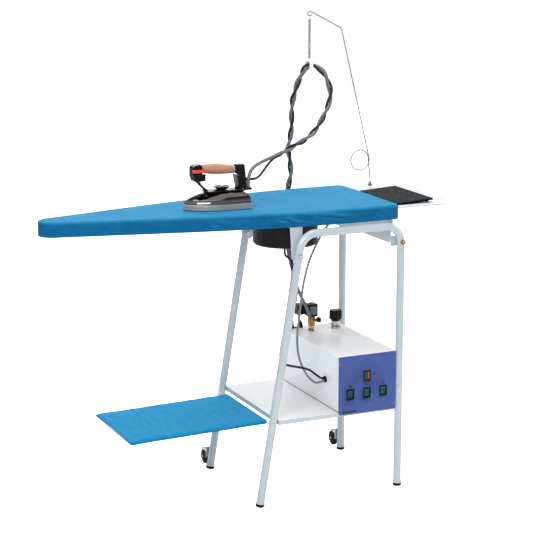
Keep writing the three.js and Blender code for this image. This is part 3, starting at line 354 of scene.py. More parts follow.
# ------------------------------------------------------------------ mesh helpers (millimetres)
def piece(name, bm, look, body="root", nodes=(), sharp=40):
    """Turns a bmesh in station millimetres into a piece of the model that rides on a body."""
    bmesh.ops.recalc_face_normals(bm, faces=bm.faces)
    for face in bm.faces:
        face.smooth = True
    mesh = bpy.data.meshes.new(name)
    bm.to_mesh(mesh)
    bm.free()
    mesh.transform(TO_FRAME)
    mesh.set_sharp_from_angle(angle=math.radians(sharp))
    mesh.materials.append(look.material)
    made = bpy.data.objects.new(name, mesh)
    bpy.context.scene.collection.objects.link(made)
    made.modifiers.new("even_shading", "WEIGHTED_NORMAL").keep_sharp = True
    if body:
        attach(made, body)
    if nodes:
        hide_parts(*nodes)
    return made


def merged(*parts):
    whole = bmesh.new()
    for part in parts:
        mesh = bpy.data.meshes.new("part")
        bmesh.ops.recalc_face_normals(part, faces=part.faces)
        part.to_mesh(mesh)
        part.free()
        whole.from_mesh(mesh)
        bpy.data.meshes.remove(mesh)
    return whole


def moved(bm, x=0, y=0, z=0):
    bm.transform(Matrix.Translation((x, y, z)))
    return bm


def turned(bm, degrees, axis):
    bm.transform(Matrix.Rotation(math.radians(degrees), 4, axis))
    return bm


def aimed(bm, at, direction):
    """Stands a part made along +Z at a point, along a direction."""
    turn = UP.rotation_difference(Vector(direction).normalized()).to_matrix().to_4x4()
    bm.transform(Matrix.Translation(Vector(at)) @ turn)
    return bm


def softened(bm, width, segments=2, angle=30):
    sharp = math.radians(angle)
    edges = [e for e in bm.edges if len(e.link_faces) == 2 and e.calc_face_angle(0) > sharp]
    bmesh.ops.bevel(bm, geom=edges, offset=width, segments=segments, profile=0.5, affect="EDGES",
                    clamp_overlap=True)
    return bm


def from_cad(node, width=0.5, segments=2):
    """A node's own shape with its flat faces joined up and its edges rounded."""
    bm = bmesh.new()
    bm.from_mesh(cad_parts[node].data)
    bm.transform(TO_FRAME.inverted())
    bmesh.ops.remove_doubles(bm, verts=bm.verts, dist=0.003)
    bmesh.ops.dissolve_limit(bm, angle_limit=math.radians(0.8), verts=bm.verts, edges=bm.edges)
    return softened(bm, width, segments)


def block(x, y, z, edge=1.0, segments=3):
    bm = bmesh.new()
    bmesh.ops.create_cube(bm, size=1)
    bm.transform(Matrix.Diagonal((x[1] - x[0], y[1] - y[0], z[1] - z[0], 1)))
    moved(bm, (x[0] + x[1]) / 2, (y[0] + y[1]) / 2, (z[0] + z[1]) / 2)
    return softened(bm, edge, segments) if edge else bm


def loft(rings, closed=False):
    """A skin over matching loops of points; the two end loops are filled unless it closes on itself."""
    bm = bmesh.new()
    loops = [[bm.verts.new(p) for p in ring] for ring in rings]
    pairs = list(zip(loops, loops[1:])) + ([(loops[-1], loops[0])] if closed else [])
    count = max(len(loop) for loop in loops)
    for low, high in pairs:
        for i in range(count):
            j = (i + 1) % count
            corners = (low[i % len(low)], low[j % len(low)], high[j % len(high)], high[i % len(high)])
            unique = list(dict.fromkeys(corners))
            if len(unique) > 2:
                bm.faces.new(unique)
    if not closed:
        for loop in (loops[0], loops[-1]):
            if len(loop) > 2:
                bm.faces.new(loop)
    return bm


def lathe(profile, sides=48, closed=False):
    angles = [2 * math.pi * i / sides for i in range(sides)]
    rings = []
    for r, z in profile:
        rings.append([(0, 0, z)] if r < 1e-6 else [(r * math.cos(a), r * math.sin(a), z) for a in angles])
    return loft(rings, closed)


def rounded(points, radius, steps=3, closed=False):
    """Rounds the corners of a flat outline, or of a lathe's profile."""
    count = len(points)
    out = []
    for i, point in enumerate(points):
        if not closed and i in (0, count - 1):
            out.append(tuple(point))
            continue
        here = Vector(point)
        before = Vector(points[i - 1]) - here
        after = Vector(points[(i + 1) % count]) - here
        start = here + before.normalized() * min(radius, before.length * 0.49)
        end = here + after.normalized() * min(radius, after.length * 0.49)
        for k in range(steps + 1):
            t = k / steps
            out.append(tuple(start * (1 - t) ** 2 + here * 2 * t * (1 - t) + end * t * t))
    return out


def collar(inner, outer, low, high, edge, sides):
    """A ring about Z with a square section and rounded corners."""
    profile = [(inner, low), (outer, low), (outer, high), (inner, high)]
    return lathe(rounded(profile, edge, 3, True), sides, True)


def prism(outline, low, high, edge=0.6, segments=2):
    bm = loft([[(x, y, low) for x, y in outline], [(x, y, high) for x, y in outline]])
    return softened(bm, edge, segments, 50) if edge else bm


def hexagonal(radius, low, high, edge=0.6):
    angles = [math.radians(60 * k) for k in range(6)]
    return prism([(radius * math.cos(a), radius * math.sin(a)) for a in angles], low, high, edge)


def wall(outline, front, back, edge=0.6, segments=2):
    """An outline drawn in X and Z, standing between two depths."""
    bm = loft([[(x, front, z) for x, z in outline], [(x, back, z) for x, z in outline]])
    return softened(bm, edge, segments, 50) if edge else bm


def tube(points, radius, sides=16):
    """A round bar along points. The radius may be one number or one for each point."""
    at = [Vector(p) for p in points]
    radii = radius if isinstance(radius, (list, tuple)) else [radius] * len(at)
    last = len(at) - 1
    along = [(at[min(i + 1, last)] - at[max(i - 1, 0)]).normalized() for i in range(last + 1)]
    normal = along[0].orthogonal().normalized()
    rings = []
    for i, point in enumerate(at):
        if i:
            normal = along[i - 1].rotation_difference(along[i]) @ normal
        side = along[i].cross(normal)
        ring = []
        for k in range(sides):
            angle = 2 * math.pi * k / sides
            ring.append(point + (normal * math.cos(angle) + side * math.sin(angle)) * radii[i])
        rings.append(ring)
    return loft(rings)


def bent(corners, radius, steps=14):
    """A path of straight runs joined by arcs of one radius."""
    at = [Vector(c) for c in corners]
    points = [at[0]]
    for before, here, after in zip(at, at[1:], at[2:]):
        into, out = (before - here).normalized(), (after - here).normalized()
        half = into.angle(out) / 2
        start = here + into * radius / math.tan(half)
        centre = here + (into + out).normalized() * radius / math.sin(half)
        arm = start - centre
        axis = arm.cross(here + out * radius / math.tan(half) - centre).normalized()
        for k in range(steps + 1):
            points.append(centre + Quaternion(axis, (math.pi - 2 * half) * k / steps) @ arm)
    return points + [at[-1]]


def spline(places, step):
    """A smooth centripetal curve through points, cut into even steps."""
    at = [Vector(p) for p in places]
    at = [at[0] * 2 - at[1]] + at + [at[-1] * 2 - at[-2]]
    dense = []
    for p0, p1, p2, p3 in zip(at, at[1:], at[2:], at[3:]):
        t1 = math.sqrt((p1 - p0).length)
        t2 = t1 + math.sqrt((p2 - p1).length)
        t3 = t2 + math.sqrt((p3 - p2).length)
        count = max(2, int((p2 - p1).length / 1.5))
        for k in range(count):
            t = t1 + (t2 - t1) * k / count
            a1 = p0 * ((t1 - t) / t1) + p1 * (t / t1)
            a2 = p1 * ((t2 - t) / (t2 - t1)) + p2 * ((t - t1) / (t2 - t1))
            a3 = p2 * ((t3 - t) / (t3 - t2)) + p3 * ((t - t2) / (t3 - t2))
            b1 = a1 * ((t2 - t) / t2) + a2 * (t / t2)
            b2 = a2 * ((t3 - t) / (t3 - t1)) + a3 * ((t - t1) / (t3 - t1))
            dense.append(b1 * ((t2 - t) / (t2 - t1)) + b2 * ((t - t1) / (t2 - t1)))
    dense.append(at[-2])
    return evenly(dense, step)


def length_of(points):
    return sum((b - a).length for a, b in zip(points, points[1:]))


def evenly(points, step):
    total = length_of(points)
    count = max(2, round(total / step))
    out, walked, i = [points[0]], 0.0, 0
    for k in range(1, count):
        target = total * k / count
        while walked + (points[i + 1] - points[i]).length < target:
            walked += (points[i + 1] - points[i]).length
            i += 1
        span = points[i + 1] - points[i]
        out.append(points[i] + span * ((target - walked) / span.length))
    return out + [points[-1]]


# ------------------------------------------------------------------ hoses and cables
BUNDLE = [
    (-199, 426, 850), (-190, 433, 885), (-184, 434, 920), (-177, 432, 958), (-182, 428, 1005),
    (-190, 423, 1047), (-185, 419, 1085), (-182, 415, 1123), (-184, 411, 1160), (-184, 405, 1200),
    (-177, 393, 1247), (-165, 372, 1297), (-155, 366, 1315), (-143, 364, 1321.5), (-131, 361, 1320),
    (-102, 351, 1298), (-85, 349, 1268), (-77, 344, 1230), (-90, 336, 1190), (-117, 326, 1148),
    (-146, 315, 1117), (-185, 303, 1092), (-235, 288, 1075), (-287, 270, 1057),
]
HOSE_START = [
    (-164.2, 304.1, 493.3), (-167.7, 298.7, 497.9), (-177, 294, 522), (-189, 294, 552), (-203, 296, 580),
    (-213, 304, 612), (-218, 328, 660), (-218, 362, 715), (-211, 398, 785),
]
HOSE_END = [
    (-336, 242, 1051), (-376, 216.5, 1045), (-409.3, 196.4, 1037), (-422.6, 188.5, 1030.7),
    (-433.2, 182.2, 1019.6), (-440, 178.2, 1004.8), (-442, 177, 990), (-442, 177, 975.2),
]
CABLE_START = [
    (-196, 378, 471.4), (-196, 378, 480), (-191, 379, 515), (-180, 380, 550), (-176, 383, 590),
    (-180, 394, 640), (-188, 410, 700), (-195, 424, 780),
]
CABLE_END = [
    (-315, 265, 1044), (-340, 253, 1029), (-364, 237, 1012), (-385, 219, 1001), (-403, 203, 997),
    (-415, 194.5, 996.8), (-426, 191.2, 996.8), (-433.5, 191, 996.8),
]
BOARD_CABLE = [
    (-226.5, 76, 354.4), (-234, 76, 354.2), (-256, 72, 353), (-282, 67, 372), (-306, 64, 408),
    (-321, 64, 450), (-325, 68, 500), (-316, 77, 560), (-301, 91, 620), (-286, 101, 680), (-266, 106, 740),
    (-243, 108, 786), (-214, 116, 826), (-190, 124, 850), (-182, 127, 862), (-181.5, 127, 871.5),
]
FAN_CABLE = [
    (-226.5, 79, 363.6), (-234, 79, 363.8), (-258, 66, 380), (-290, 54, 404), (-322, 51, 416),
    (-352, 52, 424), (-378, 52, 434), (-391, 50, 452), (-391, 47, 480), (-383, 45, 530), (-372, 44, 600),
    (-360, 46, 670), (-350, 52, 722), (-345, 66, 750), (-342, 92, 758), (-339, 116, 758), (-338, 130, 762),
    (-338, 134, 772), (-338, 134, 783.6),
]
HOSE_D, CABLE_D, LEAD_D = 11.0, 8.0, 7.2
TWISTS = 8
BEFORE_CLIP, AT_CLIP, AFTER_CLIP = (-177, 393, 1247), (-143, 364, 1321.5), (-80, 346, 1245)
ON_THE_WAY = (-235, 288, 1075)


def strand(offset):
    """One of the twisted pair: it winds round the bundle's middle line at its own distance."""
    middle = spline(BUNDLE, 6)
    last = len(middle) - 1
    along = [(middle[min(i + 1, last)] - middle[max(i - 1, 0)]).normalized() for i in range(last + 1)]
    side = Vector((0, -1, 0))
    points = []
    for i, point in enumerate(middle):
        if i:
            side = along[i - 1].rotation_difference(along[i]) @ side
        side = (side - along[i] * side.dot(along[i])).normalized()
        turn = Quaternion(along[i], 2 * math.pi * TWISTS * i / last)
        points.append(point + (turn @ side) * offset)
    return points


def nearest(points, target):
    return min(range(len(points)), key=lambda i: (points[i] - Vector(target)).length)


def cord_piece(name, points, diameter, look, blend=None, nodes=()):
    made = piece(name, tube(points, diameter / 2, 20), look, None if blend else "root", nodes)
    if blend:
        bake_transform(made)


def make_cords():
    routes = {
        "steam_hose": (HOSE_START, strand(4.3), HOSE_END, HOSE_D, HOSE, "stiff"),
        "iron_cable": (CABLE_START, strand(-5.6), CABLE_END, CABLE_D, CABLE, "medium"),
    }
    for node, (start, middle, end, diameter, look, stiffness) in routes.items():
        points = spline([*start, *middle, *end], 5)
        cuts = [nearest(points, p) for p in (BEFORE_CLIP, AT_CLIP, AFTER_CLIP, ON_THE_WAY)]
        cuts = [0, *cuts, len(points) - 1]
        blends = [
            ("root", "mast", (-190, 400, 900), (-190, 400, 1240)),
            ("mast", "clip", (-175, 390, 1253), (-151, 366, 1318)),
            ("clip", "mast", (-135, 362, 1318), (-84, 348, 1254)),
            ("mast", "root", (-110, 330, 1240), (-110, 330, 1085)),
            ("root", "iron", (-300, 250, 1050), (-425, 250, 1050)),
        ]
        for i, blend in enumerate(blends):
            part = points[cuts[i]:cuts[i + 1] + 1]
            cord_piece(f"{node}_{i + 1}", part, diameter, look, blend, (node,) if i == 0 else ())
    cord_piece("board_cable_run", spline(BOARD_CABLE, 5), LEAD_D, LEAD, None, ("board_cable",))
    cord_piece("fan_cable_run", spline(FAN_CABLE, 5), LEAD_D, CABLE, None, ("fan_cable",))


# ------------------------------------------------------------------ stand
TUBE_R = 12.5
LEG_LEAN = 0.168
LEG_FOOT_LEFT = -484
DEPTH = 400
WHEEL_Y, WHEEL_Z = 450, 27


def lean_at(z):
    return LEG_FOOT_LEFT + LEG_LEAN * z


def make_foot(side, which, at, along):
    """A low rubber cap under the tube, flat on the floor, with a light ring above it."""
    cap = [(0, 0), (12.6, 0), (13.8, 1.4), (14, 3), (14, 7), (13.4, 8.4), (12, 8.8), (0, 8.8)]
    foot = aimed(lathe(cap, 40), at, along)
    for vert in foot.verts:
        vert.co.z = 0 if vert.co.z < 1.2 else vert.co.z
    piece(f"{side}_{which}_foot_cap", foot, RUBBER, nodes=(f"{side}_{which}_foot",))
    piece(f"{side}_{which}_foot_ring", aimed(collar(12.6, 14, 9, 15, 0.6, 40), at, along), WHITE)


def make_leg(side, y):
    corners = [(lean_at(9), y, 9), (lean_at(851), y, 851), (0, y, 851), (0, y, 9)]
    piece(f"{side}_tube", tube(bent(corners, 56), TUBE_R, 40), WHITE, nodes=(f"{side}_leg_frame",))
    make_foot(side, "left", (lean_at(0), y, 0), (LEG_LEAN, 0, 1))
    make_foot(side, "right", (0, y, 0), (0, 0, 1))


def make_bolt(side, which, x, z):
    """A domed nut on its washer outside the tube, and a hexagon head inside."""
    outwards = -1 if side == "front" else 1
    dome = lathe([(0, 12.7), (8.4, 12.7), (8.6, 13.8), (6.8, 14.2), (7, 17), (6.8, 19.4), (6.1, 21.6),
                  (4.7, 23.3), (2.4, 24.2), (0, 24.4)], 40)
    parts = merged(dome, hexagonal(8.3, -21, -16, 0.7))
    aimed(parts, (x, 0 if side == "front" else DEPTH, z), (0, outwards, 0))
    look = BRASS if which == "right" else STEEL
    piece(f"{side}_{which}_nut", parts, look, nodes=(f"{side}_{which}_bolt",))


def make_castor(which, x):
    piece(f"{which}_fork", from_cad(f"{which}_castor_fork", 0.5), STEEL, nodes=(f"{which}_castor_fork",))
    section = rounded([(10.4, -8), (21, -8), (25, -5), (25, 5), (21, 8), (10.4, 8)], 2.5, 5, True)
    tyre = lathe(section, 56, True)
    hub = collar(3.6, 10.3, -9.8, 9.8, 0.8, 56)
    for part, ring, look, nodes in (("tyre", tyre, RUBBER, (f"{which}_wheel",)), ("hub", hub, BLACK, ())):
        placed = moved(turned(ring, 90, "Y"), x, WHEEL_Y, WHEEL_Z)
        piece(f"{which}_{part}", placed, look, f"wheel_{which}", nodes)


def make_stand():
    for side, y in (("front", 0), ("back", DEPTH)):
        make_leg(side, y)
        make_bolt(side, "left", -352.5, 783)
        make_bolt(side, "right", 0, 799)
        bracket = f"{side}_left_bracket"
        piece(f"{side}_left_plate", from_cad(bracket, 0.45), WHITE, nodes=(bracket,))
    piece("crossbeam", from_cad("right_crossbeam", 0.5), WHITE, nodes=("right_crossbeam",))
    piece("shelf", from_cad("lower_shelf", 2.2, 4), SHELF_PAINTED_SHADE, nodes=("lower_shelf",))
    # Painted shade: thin sheets of the frame's greyer paint over the shelf's front and left edges.
    shade_strip_z = (259.2, 272.6)
    front_shade_strip = block((-423.5, -14), (-12.9, -12.4), shade_strip_z, 0)
    left_shade_strip = block((-424.4, -423.9), (-12, 412), shade_strip_z, 0)
    piece("shelf_edge_painted_shade", merged(front_shade_strip, left_shade_strip), WHITE)
    make_castor("left", -480)
    make_castor("right", -3)


# ------------------------------------------------------------------ cloth tray
TRAY_AT = Matrix.Translation((-440.99, 0, 256)) @ Matrix.Rotation(-0.022, 4, "Y")
TRAY_X = (-455, 9)
TRAY_Y = (38, 362)
CREASES = ((-130, 7, 2.2), (-238, 10, 1.6), (-331, 9, 1.8), (-70, 16, 0.9), (-400, 14, 1.0), (-185, 13, 0.8))


def tray_edge(x, y):
    """How far a point of the tray lies from its nearest border."""
    return min(x - TRAY_X[0], TRAY_X[1] - x, y - TRAY_Y[0], TRAY_Y[1] - y)


def pad_height(x, y):
    edge = max(tray_edge(x, y), 0)
    closing = min(1.0, edge / 8.0)
    rolled = 2.6 * math.exp(-((edge - 9) / 7) ** 2)
    return max(0.3, (4.2 + rolled) * math.sqrt(closing * (2 - closing)))


def crease_height(x, y):
    """Folds that run across the tray where the cloth is slack, and a row of stitches along the border."""
    rise = 0.0
    for at, width, high in CREASES:
        here = x - at - 10 * noise.noise(Vector((at, y / 80, 0)))
        dip = math.exp(-((here - 1.8 * width) / width) ** 2)
        rise += high * math.exp(-(here / width) ** 2) - 0.5 * high * dip
    rise += 0.8 * noise.noise(Vector((x / 55, y / 40, 3)))
    seam = -0.9 * math.exp(-((tray_edge(x, y) - 19) / 2.5) ** 2)
    return rise * min(1.0, max(tray_edge(x, y) - 4, 0) / 14) + seam


def tray_pad():
    columns, rows = 110, 80
    bm = bmesh.new()
    grids = []
    for side in (1, -1):
        grid = [[None] * (rows + 1) for _ in range(columns + 1)]
        for i in range(columns + 1):
            for j in range(rows + 1):
                x = TRAY_X[0] + (TRAY_X[1] - TRAY_X[0]) * i / columns
                y = TRAY_Y[0] + (TRAY_Y[1] - TRAY_Y[0]) * j / rows
                grid[i][j] = bm.verts.new((x, y, side * pad_height(x, y)))
        for i in range(columns):
            for j in range(rows):
                bm.faces.new((grid[i][j], grid[i + 1][j], grid[i + 1][j + 1], grid[i][j + 1]))
        grids.append(grid)
    top, bottom = grids
    rim = [(i, 0) for i in range(columns)] + [(columns, j) for j in range(rows)]
    rim += [(i, rows) for i in range(columns, 0, -1)] + [(0, j) for j in range(rows, 0, -1)]
    for (a, b), (c, d) in zip(rim, rim[1:] + rim[:1]):
        bm.faces.new((top[a][b], top[c][d], bottom[c][d], bottom[a][b]))
    bmesh.ops.recalc_face_normals(bm, faces=bm.faces)
    return bm


def puffed(bm, voxel=5.0, cap=2.5, pressure=4.0):
    """Blows a stuffed shape up as cloth, with each point's movement limited, and applies the result."""
    mesh = bpy.data.meshes.new("puff")
    bm.to_mesh(mesh)
    bm.free()
    mesh.transform(Matrix.Scale(MM, 4))
    rough = bpy.data.objects.new("puff_rough", mesh)
    bpy.context.scene.collection.objects.link(rough)
    remesh = rough.modifiers.new("remesh", "REMESH")
    remesh.mode = "VOXEL"
    remesh.voxel_size = voxel * MM
    start = bpy.data.meshes.new_from_object(rough.evaluated_get(bpy.context.evaluated_depsgraph_get()))
    bpy.data.objects.remove(rough)
    soft = bpy.data.objects.new("puff_soft", start)
    bpy.context.scene.collection.objects.link(soft)
    cloth = soft.modifiers.new("cloth", "CLOTH").settings
    cloth.use_pressure = True
    cloth.uniform_pressure_force = pressure
    cloth.effector_weights.gravity = 0
    cloth.quality = 5
    for step in range(1, 21):
        bpy.context.scene.frame_set(step)
    ended = bpy.data.meshes.new_from_object(soft.evaluated_get(bpy.context.evaluated_depsgraph_get()))
    for vert, target in zip(start.vertices, ended.vertices):
        move = target.co - vert.co
        vert.co += move * min(1.0, cap * MM / max(move.length, 1e-9))
    bpy.context.scene.frame_set(1)
    bpy.data.objects.remove(soft)
    start.transform(Matrix.Scale(1 / MM, 4))
    out = bmesh.new()
    out.from_mesh(start)
    bmesh.ops.subdivide_edges(out, edges=out.edges, cuts=1, use_grid_fill=True)
    bmesh.ops.smooth_vert(out, verts=out.verts, factor=0.5, use_axis_x=True, use_axis_y=True, use_axis_z=True)
    return out


def make_tray():
    wire = tube(bent([(0, 45, 0), (-449, 45, 0), (-449, 355, 0), (0, 355, 0)], 14), 3, 20)
    wires = merged(wire, tube([(0, 7, 0), (0, 393, 0)], 3, 20))
    wires.transform(TRAY_AT)
    piece("tray_wire", wires, STEEL, "tray", ("tray_frame",))
    pad = tray_pad()
    pad = puffed(pad)
    for vert in pad.verts:
        side = 1 if vert.co.z > 0 else -0.4
        vert.co.z += side * crease_height(vert.co.x, vert.co.y)
    pad.transform(TRAY_AT)
    cloth = piece("tray_pad", pad, TRAY, "tray", ("tray_cloth",), 70)


# ------------------------------------------------------------------ boiler
BOILER_X = (-220, -18)
BOILER_FRONT, BOILER_TOP = -13.2, 452
PANEL_FACE = BOILER_FRONT - 2.3
SWITCH_X = (-180, -122, -64)
SWITCH_Z, LAMP_Z = 329, 384
FILLER = (-61, 327)
VALVE = (-150, 326)
IRON_GLAND = (-196, 378)


def screw(at, direction, radius, height=1.2):
    """The plain pan head of a screw."""
    profile = [(0, 0), (radius, 0), (radius, 0.5), (radius * 0.82, height), (0, height * 1.15)]
    return aimed(lathe(profile, 24), at, direction)


def printed(outline):
    """A film of ink on the panel's face."""
    return wall(outline, PANEL_FACE - 0.12, PANEL_FACE + 0.1, 0)


def ring_mark(x, z, radius, width, start=0, end=360):
    """A thin printed arc on the panel's face."""
    steps = max(8, int((end - start) / 12))
    angles = [math.radians(start + (end - start) * k / steps) for k in range(steps + 1)]
    outer, inner = [
        [(x + r * math.cos(a), z + r * math.sin(a)) for a in angles]
        for r in (radius + width / 2, radius - width / 2)
    ]
    return printed(outer + inner[::-1])


def bar_mark(x, z, width, height):
    half, tall = width / 2, height / 2
    outline = [(x - half, z - tall), (x + half, z - tall), (x + half, z + tall), (x - half, z + tall)]
    return printed(outline)


def bezel(x, z):
    """A black frame round a switch, with a sleeve that lines the well behind it."""
    def loop(width, height, y):
        corners = ((-1, -1), (1, -1), (1, 1), (-1, 1))
        return [(x + sx * width / 2, y, z + sz * height / 2) for sx, sz in corners]

    face, back = PANEL_FACE - 2.4, PANEL_FACE + 14
    return softened(loft([
        loop(25.7, 34.2, face), loop(25.7, 34.2, PANEL_FACE + 0.3), loop(20.8, 29.2, PANEL_FACE + 0.3),
        loop(20.8, 29.2, back), loop(20.1, 28.5, back), loop(20.1, 28.5, face),
    ], True), 0.3, 2)


def make_marks():
    """Plain signs over the switches and beside the lamp, and bars where words would be."""
    left, middle, right = SWITCH_X
    above, beside = SWITCH_Z + 25.5, LAMP_Z + 1.5
    marks = [
        ring_mark(left, above, 3, 2.2),
        bar_mark(left, above - 4.6, 9, 1.8),
        bar_mark(left, above, 1.6, 6),
        ring_mark(middle, above - 1.5, 3, 2.2, -30, 210),
        bar_mark(middle, above + 2, 2, 6),
        *[bar_mark(right + across, above, 2, 7) for across in (-3.4, 0, 3.4)],
        ring_mark(middle + 26, beside, 3, 2, 0, 180),
        bar_mark(middle + 24.5, beside - 1.5, 6, 1.8),
        bar_mark(left - 3, 272.4, 52, 5),
    ]
    piece("panel_marks", merged(*marks), INK)
    pale = [
        ring_mark(middle - 32, beside, 3, 1.6),
        bar_mark(middle - 32, beside - 5, 7, 1.6),
        bar_mark(right + 8, 282.5, 36, 2),
        bar_mark(right + 5, 277.5, 42, 2),
    ]
    piece("panel_faded_marks", merged(*pale), PALE_INK)


def make_panel():
    panel = from_cad("control_panel", 0.5, 3)
    piece("panel_plate", panel, PANEL, nodes=("control_panel",))
    make_marks()
    places = [(x, z) for x in (-216, -24) for z in (282, 430)] + [(SWITCH_X[2], 299.6)]
    screws = [screw((x, PANEL_FACE, z), (0, -1, 0), 2.5) for x, z in places]
    piece("panel_screws", merged(*screws), BRASS)
    piece("switch_bezels", merged(*[bezel(x, SWITCH_Z) for x in SWITCH_X]), BLACK)
    for i, x in enumerate(SWITCH_X):
        which = ("left", "middle", "right")[i]
        key = from_cad(f"rocker_switch_{i + 1}", 1.1, 4)
        piece(f"{which}_rocker", key, GREEN, f"rocker_{which}", (f"rocker_switch_{i + 1}",))
    x = SWITCH_X[1]
    piece("lamp_body", from_cad("indicator_lamp", 0.6, 3), BLACK, nodes=("indicator_lamp",))
    for name, across, look in (("green_lens", -5, DARK_GREEN), ("amber_lens", 5, AMBER)):
        lens = block((x + across - 4.1, x + across + 4.1), (PANEL_FACE - 2.6, PANEL_FACE - 1.3),
                     (LAMP_Z - 12.2, LAMP_Z + 12.2), 0.6)
        piece(name, lens, look)


def make_filler():
    x, y = FILLER
    flange = collar(12.2, 18, BOILER_TOP + 0.6, 457, 0.8, 48)
    piece("filler_flange", moved(flange, x, y), STEEL, nodes=("filler_neck",))
    ring = collar(9.4, 14.5, 457, 462.6, 0.9, 48)
    piece("filler_ring", moved(ring, x, y), BRASS)
    plug = lathe([
        (0, 440), (9, 440), (9, 463), (14.0, 463), (14.7, 463.8), (14.7, 466.4), (14.1, 467),
        (14.7, 467.6), (14.7, 476.2), (14, 477), (8, 477), (8, 498), (0, 499),
    ], 48)
    piece("filler_plug_turned", moved(plug, x, y), STEEL, "filler_stem", ("filler_plug",))
    ribs, steps = 18, 144
    rings = []
    levels = [
        (477.4, 15.0, 0), (480, 17.0, 0), (483, 19.0, 0), (483.6, 19.4, 1), (486, 19.4, 1),
        (508, 19.0, 1), (512, 18.2, 1), (513.4, 16.8, 0.5), (514, 14.5, 0), (513.6, 8, 0),
    ]
    for z, radius, fluted in levels:
        ring = []
        for k in range(steps):
            a = 2 * math.pi * k / steps
            r = radius + fluted * 1.6 * max(0.0, math.cos(ribs * a)) ** 0.6
            ring.append((x + r * math.cos(a), y + r * math.sin(a), z))
        rings.append(ring)
    piece("filler_cap_fluted", loft(rings), BLACK, "filler_cap", ("filler_grip",), 35)


KNOB_AXIS = Vector((0.62, -0.75, 0.22)).normalized()


def along_knob(distance):
    return Vector((VALVE[0], VALVE[1], BOILER_TOP + 33)) + KNOB_AXIS * distance


def make_valve():
    def at_valve(bm):
        return moved(bm, VALVE[0], VALVE[1], BOILER_TOP)

    shaft = lathe([
        (0, -2), (8, -2), (8, 17.5), (10.6, 18.6), (12.2, 20), (12.5, 30), (12.2, 44), (11, 46.6),
        (6.8, 47), (6.8, 93.5), (6.2, 95), (0, 95),
    ], 40)
    stem = lathe([(0, 0), (5.5, 0), (5.5, 12), (3, 12.4), (3, 22), (0, 22)], 28)
    aimed(stem, along_knob(8), KNOB_AXIS)
    tail_at, tail_to = Vector((-4, -6, 28)), Vector((-14, -21.5, 41))
    reach = (tail_to - tail_at).length
    barbs = [
        (0, 0), (4.4, 0), (5.4, 3), (5.4, reach - 7), (6.1, reach - 6.6), (5.6, reach - 3),
        (5.5, reach), (0, reach),
    ]
    tail = aimed(lathe(barbs, 28), tail_at + Vector((*VALVE, BOILER_TOP)), tail_to - tail_at)
    piece("valve_brass", merged(at_valve(shaft), stem, tail), BRASS, nodes=("valve_body",))
    nuts = at_valve(merged(hexagonal(11.5, 11, 17), hexagonal(8.6, 92.2, 95)))
    piece("valve_nuts", nuts, STEEL)
    piece("valve_base_nut", at_valve(hexagonal(11.5, 0.6, 6.5)), BRASS)
    coil = block((-16.5, 16.5), (-16, 16), (49, 92), 2.2, 4)
    piece("coil_block", at_valve(coil), BLACK, nodes=("valve_coil",))
    label = block((-12, 12), (-16.3, -15.8), (56, 84), 0.2, 1)
    piece("coil_plate", at_valve(label), GREY)
    grooves = [(9.5 - (0.5 if k % 2 else 0), 1.6 + 0.5 * k) for k in range(15)]
    rim = [(9.2, 9.4), (8, 11.4), (5, 12.2), (0, 12.5)]
    knob = aimed(lathe([(0, 0.4), (6, 0.4), (8.6, 0.9), *grooves, *rim], 48), along_knob(21.5), KNOB_AXIS)
    piece("regulator_knob", knob, BLACK, "steam_regulator", ("valve_knob",))
    piece("coil_plug", from_cad("coil_connector", 0.9, 3), BLACK, nodes=("coil_connector",))
    sleeve_rings = [(4.3 + 1.6 * (1 - k / 12) + (0.5 if k % 2 else 0), 468 + 2.6 * k) for k in range(13)]
    sleeve = lathe([(0, 467), *sleeve_rings, (0, 500)], 28)
    piece("cable_strain_relief", moved(sleeve, *IRON_GLAND), RUBBER)


def make_boiler():
    piece("boiler_casing", from_cad("boiler_cover", 0.7, 3), SHEET, nodes=("boiler_cover",))
    piece("boiler_back_plate", from_cad("boiler_base", 0.5), SHEET, nodes=("boiler_base",))
    # Painted shade: a dark strip along the casing's lower left edge, just above the shelf, where the gap
    # between them is.
    seam = block((BOILER_X[0] - 0.3, BOILER_X[0] + 0.3), (BOILER_FRONT + 1, 384), (274.1, 275.7), 0)
    piece("casing_gap_painted_shade", seam, INK)
    make_panel()
    make_filler()
    make_valve()
    piece("grommet", from_cad("side_grommet", 0.6, 3), RUBBER, nodes=("side_grommet",))
    dot = screw((-53, 385, BOILER_TOP), (0, 0, 1), 3.4, 1.6)
    piece("thermal_fuse_button", dot, RED)


# ------------------------------------------------------------------ vacuum fan
FAN = (-305, 200, 784)
FAN_R = 103


def make_fan():
    inner = FAN_R - 2
    shell = rounded([
        (34, 0), (98, 0), (FAN_R, 5), (FAN_R, 87.2), (inner, 87.2), (inner, 6), (97, 2), (34, 2),
    ], 1.6, 4, True)
    piece("fan_drum", moved(lathe(shell, 96, True), *FAN), BLACK, nodes=("fan_housing",))
    piece("motor_can", from_cad("fan_motor", 0.6), STEEL, nodes=("fan_motor",))
    piece("impeller", from_cad("fan_impeller", 0.3), STEEL, "fan_rotor", ("fan_impeller",))
    vents = []
    for k in range(24):
        a = math.radians(15 * k)
        slot = block((56, 84), (-1.6, 1.6), (-0.6, 0.3), 0.2, 1)
        slot.transform(Matrix.Rotation(a, 4, "Z"))
        vents.append(moved(slot, *FAN))
    piece("fan_ribs", merged(*vents), GREY)


# ------------------------------------------------------------------ board
BOARD_Y = 200
NOSE_X, NOSE_R = -1110, 46
HALF_WIDTH, END_X = 203, -2.5
